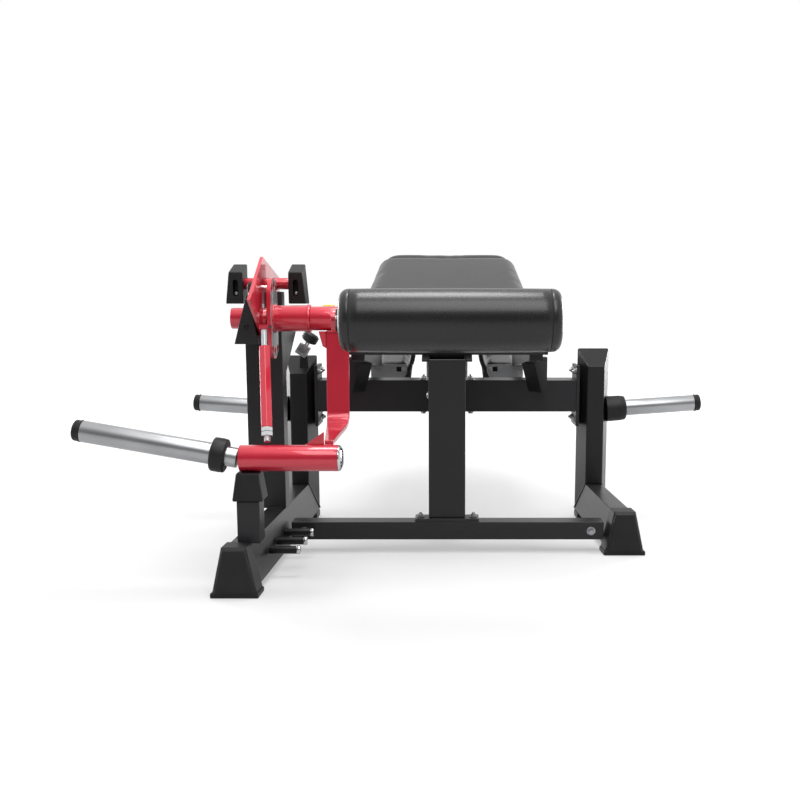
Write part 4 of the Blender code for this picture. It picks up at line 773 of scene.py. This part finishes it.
def cushionStart(low, high, shoulder, matrix, cuts, farShare=1.0):
    # a block with elliptical shoulders above and pulled-in sides below
    bm = bmesh.new()
    cube = bmesh.ops.create_cube(bm, size=2)["verts"]
    edges = list({edge for vert in cube for edge in vert.link_edges})
    bmesh.ops.subdivide_edges(bm, edges=edges, cuts=cuts, use_grid_fill=True)
    middle = (low + high) / 2
    half = (high - low) / 2
    radius = Vector((shoulder, shoulder, half.z * 0.98))
    for vert in bm.verts:
        u, v, w = vert.co
        point = Vector((u * half.x, v * half.y, w * half.z))
        core = Vector([max(-(half[k] - radius[k]), min(half[k] - radius[k], point[k])) for k in range(3)])
        offset = Vector([(point[k] - core[k]) / radius[k] for k in range(3)])
        biggest = max(abs(offset.x), abs(offset.y), abs(offset.z) if w > 0 else 0)
        length = offset.length if w > 0 else Vector((offset.x, offset.y)).length
        if length > 1e-6:
            share = biggest / length
            draw = 1 - 0.20 * max(0.0, -w)
            flat = share * draw
            point = core + Vector((offset.x * radius.x * flat, offset.y * radius.y * flat,
                                   offset.z * radius.z * (share if w > 0 else 1)))
        point.x *= 1 + (farShare - 1) * (point.y + half.y) / (2 * half.y)
        vert.co = matrix @ (point + middle)
    return bm


def inflate(piece, s, up):
    # voxel remesh, then cloth under pressure, with the travel of each point capped
    bpy.context.view_layer.objects.active = piece
    remesh = piece.modifiers.new("remesh", "REMESH")
    remesh.mode = "VOXEL"
    remesh.voxel_size = s["voxel"]
    dense = evaluated(piece)
    piece.modifiers.clear()
    material = piece.data.materials[0]
    piece.data = dense
    dense.materials.clear()
    dense.materials.append(material)
    start = [v.co.copy() for v in dense.vertices]
    cloth = piece.modifiers.new("cloth", "CLOTH")
    cloth.settings.use_pressure = True
    cloth.settings.uniform_pressure_force = clothSet["pressure"]
    cloth.settings.effector_weights.gravity = 0
    cloth.settings.quality = clothSet["quality"]
    for number in range(1, clothSet["frames"] + 1):
        scene.frame_set(number)
    swollen = evaluated(piece)
    piece.modifiers.clear()
    lowest = min(start, key=lambda point: point.dot(up))
    for vert, home in zip(swollen.vertices, start):
        move = vert.co - home
        # the underside lies on its board and stays flat
        below = move.dot(up)
        if below < 0 and (home - lowest).dot(up) < clothSet["underside"]:
            move -= up * below
        if move.length > s["cap"]:
            move *= s["cap"] / move.length
        vert.co = home + move
    swollen.materials.clear()
    swollen.materials.append(material)
    piece.data = swollen
    scene.frame_set(1)
    bm = bmesh.new()
    bm.from_mesh(piece.data)
    for _ in range(clothSet["smoothing"]):
        bmesh.ops.smooth_vert(bm, verts=bm.verts, factor=0.5, use_axis_x=True, use_axis_y=True, use_axis_z=True)
    bm.to_mesh(piece.data)
    bm.free()
    piece.data.shade_smooth()


def makeCushion(name, node, low, high, shoulder, matrix, s, cuts, farShare=1.0):
    inset = Vector((s["inset"], s["inset"], 0))
    top = high - inset - Vector((0, 0, s["inset"] * 0.5))
    bm = cushionStart(low + inset, top, shoulder, matrix, cuts, farShare)
    piece = addPiece(name, bm, vinyl, "frame", 0, False, (node,))
    inflate(piece, s, (matrix.to_3x3() @ Vector((0, 0, 1))).normalized())
    finer = piece.modifiers.new("finer", "SUBSURF")
    finer.levels = 1
    finer.render_levels = 1


def sloped(at, degrees):
    return Matrix.Translation(at) @ Matrix.Rotation(math.radians(degrees), 4, "X")


def makeBench(s):
    thigh = sloped(atDesign(0, s["nearY"], s["nearZ"]), s["thighSlope"])
    torso = sloped(thigh @ Vector((0, s["thighLength"] + s["hipStep"], 0)), s["torsoSlope"])
    knee, hip, head = (s[key] / 2 for key in ("kneeWidth", "hipWidth", "headWidth"))
    for name, place, length, first, last in (("thigh", thigh, s["thighLength"], knee, hip),
                                             ("torso", torso, s["torsoLength"], hip, head)):
        makeCushion(name + "Cushion", name + "_pad", Vector((-first, 0, -s["thick"])), Vector((first, length, 0)),
                    s["shoulder"], place, s, 34, last / first)


elbowSet = {"shoulder": 0.020, "voxel": 0.0045, "inset": 0.0025, "cap": 0.005, "innerX": 0.126,
            "outerX": 0.250, "nearY": 0.800, "nearZ": 0.464, "slope": 12.0, "length": 0.260, "thick": 0.045}
plateSet = {"y": 0.7738, "thick": 0.0025, "columns": (0.137, 0.157, 0.174, 0.262),
            "rows": (0.413, 0.445, 0.462, 0.4695), "corner": 0.015, "boltX": 0.1475, "boltZ": 0.4545,
            "bolt": 0.0062, "boltSide": 0.005, "boltHigh": 0.0065, "rimY": 0.7855,
            "rim": {"radius": 0.0085, "pitch": 0.012, "ripple": 0.0, "sides": 20},
            "rimPath": ((0.1165, 0.509), (0.1175, 0.497), (0.1200, 0.484), (0.1245, 0.470), (0.1310, 0.457),
                        (0.1385, 0.445), (0.1460, 0.436))}


def makeElbowPads(s):
    matrix = sloped(atDesign(0, s["nearY"], s["nearZ"]), s["slope"])
    for side, label in bothSides:
        across = sorted((side * s["innerX"], side * s["outerX"]))
        makeCushion("elbowCushion" + label, "elbow_pad_" + label.lower(), Vector((across[0], 0, -s["thick"])),
                    Vector((across[1], s["length"], -0.001)), s["shoulder"], matrix, s, 18)


def makeElbowPlates(s):
    # bright end plates with a square hole and a bolt, on the feet of the side rails
    bolt = s["bolt"]
    corners = [(0, 0), (0, bolt), (s["boltSide"], bolt), (s["boltHigh"], bolt * 0.6), (s["boltHigh"], 0)]
    for side, label in bothSides:
        bm = bmesh.new()
        grid = [[bm.verts.new(atDesign(side * x, s["y"], z)) for x in s["columns"]] for z in s["rows"]]
        grid[0][0].co.x += side * s["corner"]  # the lower inner corner is cut off
        for r in range(3):
            for c in range(3):
                if (r, c) != (1, 1):
                    bm.faces.new((grid[r][c], grid[r][c + 1], grid[r + 1][c + 1], grid[r + 1][c]))
        pushOut(bm, list(bm.faces), (0, -s["thick"], 0))
        easeEdges(bm, 0.0007)
        placed(bm, spun(bm, rounded(corners, 0.001), 24),
               atDesign(side * s["boltX"], s["y"] - s["thick"] - 0.0002, s["boltZ"]), (0, -1, 0))
        addPiece("elbowPlate" + label, bm, plate, "frame", 35, True, ())
        bm = bmesh.new()
        addBead(bm, [atDesign(side * x, s["rimY"] + s["rim"]["radius"], z) for x, z in s["rimPath"]], s["rim"])
        bmesh.ops.recalc_face_normals(bm, faces=bm.faces)
        addPiece("elbowRim" + label, bm, seam, "frame", 60, False, ())


makeBench(benchSet)
makeElbowPads(elbowSet)
makeElbowPlates(plateSet)
print("cushions made")

# ankle roller
rollerSet = {"rim": 0.020, "seamIn": 0.024, "seamDepth": 0.0016, "seamWidth": 0.0030, "bore": 0.0125, "dish": 0.004,
             "swell": 0.0012}


def makeRoller(s):
    # foam roller in vinyl: rounded rims, a drawn seam near each end, a slight swell between them
    length = rollerHigh.x - rollerLow.x
    radius = (rollerHigh.z - rollerLow.z) / 2
    edge = radius - s["swell"]
    start = Vector((rollerLow.x, rollerAt.y, rollerAt.z))
    rim, seamIn, depth, half = s["rim"], s["seamIn"], s["seamDepth"], s["seamWidth"] / 2
    corners = [(s["dish"], s["bore"]), (s["dish"], radius * 0.40), (0, radius * 0.62)]
    for i in range(11):
        angle = math.pi / 2 * i / 10
        corners.append((rim * (1 - math.cos(angle)), edge - rim + rim * math.sin(angle)))
    corners += [(seamIn - half, edge), (seamIn, edge - depth), (seamIn + half, edge)]
    for i in range(1, 10):
        t = i / 10
        corners.append((seamIn + (length / 2 - seamIn) * t, radius - s["swell"] * (1 - t) ** 2))
    mirrored = [(length - along, r) for along, r in reversed(corners)]
    bm = bmesh.new()
    placed(bm, spun(bm, corners + [(length / 2, radius)] + mirrored, 128), start, (1, 0, 0))
    piece = addPiece("rollerCushion", bm, vinyl, "roller", 60, False, ("ankle_roller",))
    bm = bmesh.new()
    for along in (seamIn, length - seamIn):
        ring = bmesh.ops.create_circle(bm, segments=8, radius=depth * 0.55)["verts"]
        bmesh.ops.rotate(bm, cent=(0, 0, 0), matrix=Matrix.Rotation(math.pi / 2, 3, "X"), verts=ring)
        bmesh.ops.translate(bm, vec=(edge - depth * 0.5, 0, along), verts=ring)
        edges = list({edge for vert in ring for edge in vert.link_edges})
        bmesh.ops.spin(bm, geom=ring + edges, cent=(0, 0, 0), axis=(0, 0, 1), angle=math.tau, steps=128,
                       use_merge=True)
    bmesh.ops.recalc_face_normals(bm, faces=bm.faces)
    placed(bm, list(bm.verts), start, (1, 0, 0))
    addPiece("rollerSeams", bm, seam, "roller", 60)


makeRoller(rollerSet)
tubeOn("rollerSpindleBar", "roller_spindle", steel, "roller_arm", 0.001)
print("roller made")

# webs, ribs, tabs, a bolt and a grip
tabSet = {"ear": ((-0.4705, 0.100, 0.6405), (-0.4480, 0.150, 0.712)), "webThick": 0.0045,
          "web": ((0.1503, 0.640), (0.330, 0.640), (0.345, 0.602), (0.1503, 0.490)),
          "arm": (("armGusset", -0.262, 0.006, ((-0.338, 0.3476), (-0.2932, 0.3476), (-0.2932, 0.379))),
                  ("armTubeRib", -0.040, 0.030,
                   ((-0.331, 0.6095), (-0.3124, 0.6095), (-0.3124, 0.566), (-0.321, 0.571)))),
          "tabIn": 0.0503, "tabOut": 0.068, "tabFrom": 0.058, "tabTo": 0.108, "tabThick": 0.008, "tabGap": 0.0004,
          "boltAt": (-0.0502, 0.085, 0.432),
          "bolt": ((0, 0), (0, 0.0105), (0.0022, 0.0098), (0.0045, 0.0070), (0.0055, 0.0035), (0.0058, 0)),
          "gripAt": (-0.3250, 0.006, 0.6735), "gripLength": 0.032, "gripRadius": 0.0035}


def easedSlab(name, outline, travel, material, body):
    bm = bmesh.new()
    addSlab(bm, outline, travel)
    easeEdges(bm, 0.0012)
    addPiece(name, bm, material, body, 35, True)


def underThigh(y, s):
    slope = math.radians(s["thighSlope"])
    return s["nearZ"] + (y - s["nearY"]) * math.tan(slope) - (s["thick"] + s["board"]) / math.cos(slope)


def makeTabs(s):
    bm = bmesh.new()
    addBlock(bm, atDesign(*s["ear"][0]), atDesign(*s["ear"][1]))
    easeEdges(bm, 0.003)
    addPiece("columnEar", bm, paint, "frame", 35, True)
    left = s["ear"][1][0] - s["webThick"]
    easedSlab("columnWeb", [atDesign(left, y, z) for y, z in s["web"]], Vector((s["webThick"], 0, 0)), paint,
              "frame")
    for name, y, thick, outline in s["arm"]:
        easedSlab(name, [atDesign(x, y, z) for x, z in outline], Vector((0, thick, 0)), red, "weight_arm")
    rows = ((s["tabFrom"], s["tabThick"]), (s["tabTo"], s["tabThick"]), (s["tabTo"], s["tabGap"]),
            (s["tabFrom"], s["tabGap"]))
    for side, label in bothSides:
        outline = [atDesign(side * s["tabIn"], y, underThigh(y, benchSet) - lower) for y, lower in rows]
        easedSlab("postTab" + label, outline, Vector((side * (s["tabOut"] - s["tabIn"]), 0, 0)), paint, "frame")
    turnedPiece("postBolt", atDesign(*s["boltAt"]), (-1, 0, 0), s["bolt"], zinc, "frame", (), 0.0006, 40)
    turnedPiece("yellowGrip", atDesign(*s["gripAt"]), (1, 0, 0), tubeCorners(s["gripLength"], s["gripRadius"]),
                yellow, "weight_arm", (), 0.0012, 24)


makeTabs(tabSet)

# adjuster beside the left upright: silver housing, black knob
adjustSet = {"at": (-0.4425, 0.425, 0.537), "lean": 32.0, "size": (0.036, 0.030, 0.034), "slotX": 0.012,
             "slotDeep": 0.010, "slotLow": -0.006, "slotHigh": 0.007, "stem": 0.008, "stemHigh": 0.012,
             "knob": 0.026, "knobHigh": 0.030,
             # along the knob, and its radius there as a share of its widest
             "ridges": ((0, 0.55), (0.004, 0.90), (0.009, 1), (0.012, 0.93), (0.016, 1), (0.020, 0.93), (0.024, 1),
                        (0.030, 0.70)),
             "lugAt": (-0.4465, 0.465), "lug": ((-0.014, 0.478), (0.014, 0.478), (0.010, 0.556), (-0.010, 0.556)),
             "lugThick": 0.008, "pin": 0.007, "pinLength": 0.0245, "pinX": 0.004}


def makeAdjuster(s):
    place = Matrix.Translation(atDesign(*s["at"])) @ Matrix.Rotation(math.radians(s["lean"]), 4, "Y")
    bm = bmesh.new()
    half = Vector(s["size"]) / 2
    addBlock(bm, -half, half)
    easeEdges(bm, 0.002)
    bmesh.ops.transform(bm, matrix=place, verts=bm.verts)
    housing = addPiece("adjusterHousing", bm, zinc, "frame", 35, True, ())
    cutter = bmesh.new()
    addBlock(cutter, Vector((-s["slotX"], -half.y - 0.005, s["slotLow"])),
             Vector((s["slotX"], -half.y + s["slotDeep"], s["slotHigh"])))
    bmesh.ops.transform(cutter, matrix=place, verts=cutter.verts)
    carve(housing, cutter)
    out = (place.to_3x3() @ Vector((0, 0, 1))).normalized()
    start = place @ Vector((0, 0, half.z))
    turnedPiece("adjusterStem", start, out, tubeCorners(s["stemHigh"], s["stem"]), chrome, "frame", (), 0.001, 32)
    corners = [(0, 0)] + [(along, s["knob"] * share) for along, share in s["ridges"]] + [(s["knobHigh"], 0)]
    knobAt = start + out * (s["stemHigh"] + 0.0001)
    turnedPiece("adjusterKnob", knobAt, out, corners, rubber, "frame", (), 0.002, 48)
    bm = bmesh.new()
    foot = atDesign(*s["lugAt"], 0.0)
    addSlab(bm, [Vector((foot.x + x, foot.y, z)) for x, z in s["lug"]], Vector((0, s["lugThick"], 0)))
    easeEdges(bm, 0.0015)
    addPiece("adjusterLug", bm, paint, "frame", 35, True)
    turnedPiece("adjusterPin", place @ Vector((s["pinX"], half.y, 0)), (0, 1, 0),
                tubeCorners(s["pinLength"], s["pin"]), chrome, "frame", (), 0.001, 32)


makeAdjuster(adjustSet)

# handle grips and end plugs
gripSet = {"x": 0.063, "y": 1.1531, "low": 0.368, "high": 0.4866, "bar": 0.0125, "grip": 0.0168, "ridges": 14,
           "flange": 0.003, "groove": 0.001, "margin": 0.010, "plugZ": 0.4850}
plugSet = {"inset": 0.0012, "right": 0.0242, "low": 0.0001, "high": 0.0030}


def makeGrips(s):
    bar, grip, groove, bore = s["bar"], s["grip"], s["grip"] - s["groove"], s["bar"] + gap
    flange = grip + s["flange"]
    length = s["high"] - s["low"]
    step = (length - s["margin"] * 2) / s["ridges"]
    corners = [(0, bore), (0, flange), (0.005, flange), (0.007, grip)]
    for i in range(s["ridges"]):
        start = s["margin"] + i * step
        corners += [(start, grip), (start + step * 0.25, groove), (start + step * 0.75, groove)]
    corners += [(length - 0.008, grip), (length - 0.002, grip - 0.001), (length, grip - 0.004), (length, bore)]
    plug = [(0, 0), (0, bar - 0.0005), (0.0020, bar - 0.0008), (0.0042, bar * 0.6), (0.0050, 0)]
    for side, label in bothSides:
        bm = bmesh.new()
        placed(bm, spun(bm, corners, 64), atDesign(side * s["x"], s["y"], s["low"]), (0, 0, 1))
        addPiece("handleGrip" + label, bm, rubber, "frame", 50)
        turnedPiece("handlePlug" + label, atDesign(side * s["x"], s["y"], s["plugZ"]), (0, 0, 1), plug, rubber,
                    "frame", (), 0.001, 40)


def makeColumnCap(s):
    # plastic plug in the open top of the left column
    _, low, high = middleOf("left_column")
    bm = bmesh.new()
    addBlock(bm, Vector((low.x + s["inset"], low.y + s["inset"], high.z + s["low"])),
             Vector((high.x - s["right"], high.y - s["inset"], high.z + s["high"])))
    easeEdges(bm, 0.0012)
    addPiece("columnPlug", bm, rubber, "frame", 35, True)


makeGrips(gripSet)
makeColumnCap(plugSet)

# weld beads
beadSet = {"radius": 0.0028, "pitch": 0.0042, "ripple": 0.16, "sides": 8, "legHalf": 0.050, "postHalf": 0.022,
           "uprightTop": (0.0262, 0.001, 0.114), "uprightFoot": (0.0500, -0.002, 0.024), "blockMiddle": 0.007,
           "blockTop": 0.010, "hub": 0.0345, "hubIn": 0.0015, "plateIn": 0.003, "plateRows": (-0.0175, -0.0015),
           "footX": (-0.3365, -0.2745), "footDrop": 0.0035}


def circleRoute(x, radius, steps=40):
    angles = [math.tau * i / steps for i in range(steps + 1)]
    return [Vector((x, axleAt.y + radius * math.cos(a), axleAt.z + radius * math.sin(a))) for a in angles]


def makeBeads(s):
    bm = bmesh.new()
    _, legLow, legHigh = middleOf("left_leg")
    for node in ("left_column", "bumper_post"):
        _, low, high = middleOf(node)
        for y in (low.y - 0.001, high.y + 0.001):
            splay = (y - legLow.y) / (legHigh.y - legLow.y)
            middle = legLow.x + s["legHalf"] + (legHigh.x - legLow.x - s["legHalf"] * 2) * splay
            addBead(bm, [Vector((middle + x, y, low.z)) for x in (-s["postHalf"], s["postHalf"])], s)
    for node in ("left_upright", "right_upright"):
        middle, low, high = middleOf(node)
        for side, _ in bothSides:
            addBead(bm, [Vector((middle.x + side * x, edge + y, z)) for edge, (x, y, z) in
                         ((low.y, s["uprightTop"]), (high.y, s["uprightFoot"]))], s)
    block, low, high = middleOf("bearing_block")
    topZ = axleAt.z - s["blockTop"]
    share = (topZ - low.z) / (high.z - low.z)
    for x in (low.x, high.x):
        top = x + (block.x + s["blockMiddle"] - x) * share
        addBead(bm, [Vector((x, high.y - close, low.z + 0.002)), Vector((top, high.y - close, topZ))], s)
    addPiece("frameBeads", bm, paint, "frame", 0)
    bm = bmesh.new()
    addBead(bm, circleRoute(middleOf("weight_hub")[1].x + s["hubIn"], s["hub"]), s)
    _, low, high = middleOf("arm_plate")
    for y in s["plateRows"]:
        addBead(bm, [Vector((x, axleAt.y + y, high.z - 0.001)) for x in
                     (low.x + s["plateIn"], high.x - s["plateIn"])], s)
    footZ = middleOf("lower_tube")[2].z - s["footDrop"]
    addBead(bm, [Vector((midX + x, low.y - 0.002, footZ)) for x in s["footX"]], s)
    addPiece("armBeads", bm, red, "weight_arm", 0)


makeBeads(beadSet)
print("small details made")

# floor, world and lamps
studioSet = {"floorSize": 40, "mirrorShare": 0.35, "floor": "#b6b6b6", "nearGlow": 0.36, "farGlow": 0.70,
             "nearReach": 0.9, "farReach": 4.5, "frontLight": 0.14, "roomLight": 0.96}


def makeStudio(s):
    bm = bmesh.new()
    bmesh.ops.create_grid(bm, x_segments=1, y_segments=1, size=s["floorSize"])
    floor = linked("studioFloor", meshOf("studioFloor", bm))
    floor.location.z = -0.0005
    material = bpy.data.materials.new("studioFloor")
    material.use_nodes = True
    tree = material.node_tree
    tree.nodes.clear()
    rays = addNode(tree, "ShaderNodeLightPath")
    diffuse = addNode(tree, "ShaderNodeBsdfDiffuse", inputs={"Color": linear(s["floor"])})
    direct = addNode(tree, "ShaderNodeMath", {"operation": "MAXIMUM"},
                     links={0: rays.outputs["Is Camera Ray"], 1: rays.outputs["Is Transmission Ray"]})
    shown = addNode(tree, "ShaderNodeMath", {"operation": "MULTIPLY_ADD"}, {1: s["mirrorShare"]},
                    {0: rays.outputs["Is Glossy Ray"], 2: direct.outputs[0]})
    # less of it near the machine, where the lamps reach the floor, so that the shadow shows
    place = addNode(tree, "ShaderNodeTexCoord").outputs["Object"]
    reach = addNode(tree, "ShaderNodeVectorMath", {"operation": "LENGTH"}, links={0: place}).outputs["Value"]
    amount = addNode(tree, "ShaderNodeMapRange", {"interpolation_type": "SMOOTHSTEP"},
                     {"From Min": s["nearReach"], "From Max": s["farReach"], "To Min": s["nearGlow"],
                      "To Max": s["farGlow"]}, {"Value": reach})
    seen = addNode(tree, "ShaderNodeMath", {"operation": "MULTIPLY"},
                   links={0: shown.outputs[0], 1: amount.outputs["Result"]})
    glow = addNode(tree, "ShaderNodeEmission", links={"Strength": seen.outputs[0]})
    both = addNode(tree, "ShaderNodeAddShader", links={0: diffuse.outputs[0], 1: glow.outputs[0]})
    addNode(tree, "ShaderNodeOutputMaterial", links={"Surface": both.outputs[0]})
    floor.data.materials.append(material)
    world = bpy.data.worlds.new("studio")
    scene.world = world
    world.use_nodes = True
    tree = world.node_tree
    tree.nodes.clear()
    # a white room, dark on the side that the foot end faces
    way = addNode(tree, "ShaderNodeTexCoord").outputs["Generated"]
    split = addNode(tree, "ShaderNodeSeparateXYZ", links={"Vector": way})
    shade = addNode(tree, "ShaderNodeMapRange", {"interpolation_type": "SMOOTHSTEP"},
                    {"From Min": -0.95, "From Max": -0.25, "To Min": s["frontLight"], "To Max": s["roomLight"]},
                    {"Value": split.outputs["Y"]})
    rays = addNode(tree, "ShaderNodeLightPath")
    strength = addNode(tree, "ShaderNodeMapRange", inputs={"To Max": 1.0},
                       links={"Value": rays.outputs["Is Camera Ray"], "To Min": shade.outputs["Result"]})
    sky = addNode(tree, "ShaderNodeBackground", inputs={"Color": (1, 1, 1, 1)},
                  links={"Strength": strength.outputs["Result"]})
    addNode(tree, "ShaderNodeOutputWorld", links={"Surface": sky.outputs[0]})


lampSet = {
    "overhead": {"at": (0.0, -0.1, 3.0), "aim": (0.0, 0.0, 0.3), "size": 1.0, "watts": 34},
    "frontHigh": {"at": (0.5, -2.6, 3.6), "aim": (0.0, 0.0, 0.4), "size": 2.6, "watts": 78},
    "backLeft": {"at": (-4.0, 3.4, 1.1), "aim": (0.2, 0.0, 0.4), "size": 2.0, "watts": 180},
    "backRight": {"at": (4.0, 3.4, 1.1), "aim": (-0.2, 0.0, 0.4), "size": 2.0, "watts": 180},
}


def makeLamps(s):
    for name, lamp in s.items():
        data = bpy.data.lights.new(name, "AREA")
        data.size = lamp["size"]
        data.energy = lamp["watts"]
        holder = linked(name, data)
        holder.location = lamp["at"]
        holder.rotation_euler = (Vector(lamp["aim"]) - Vector(lamp["at"])).to_track_quat("-Z", "Y").to_euler()


makeStudio(studioSet)
makeLamps(lampSet)
print("studio made")
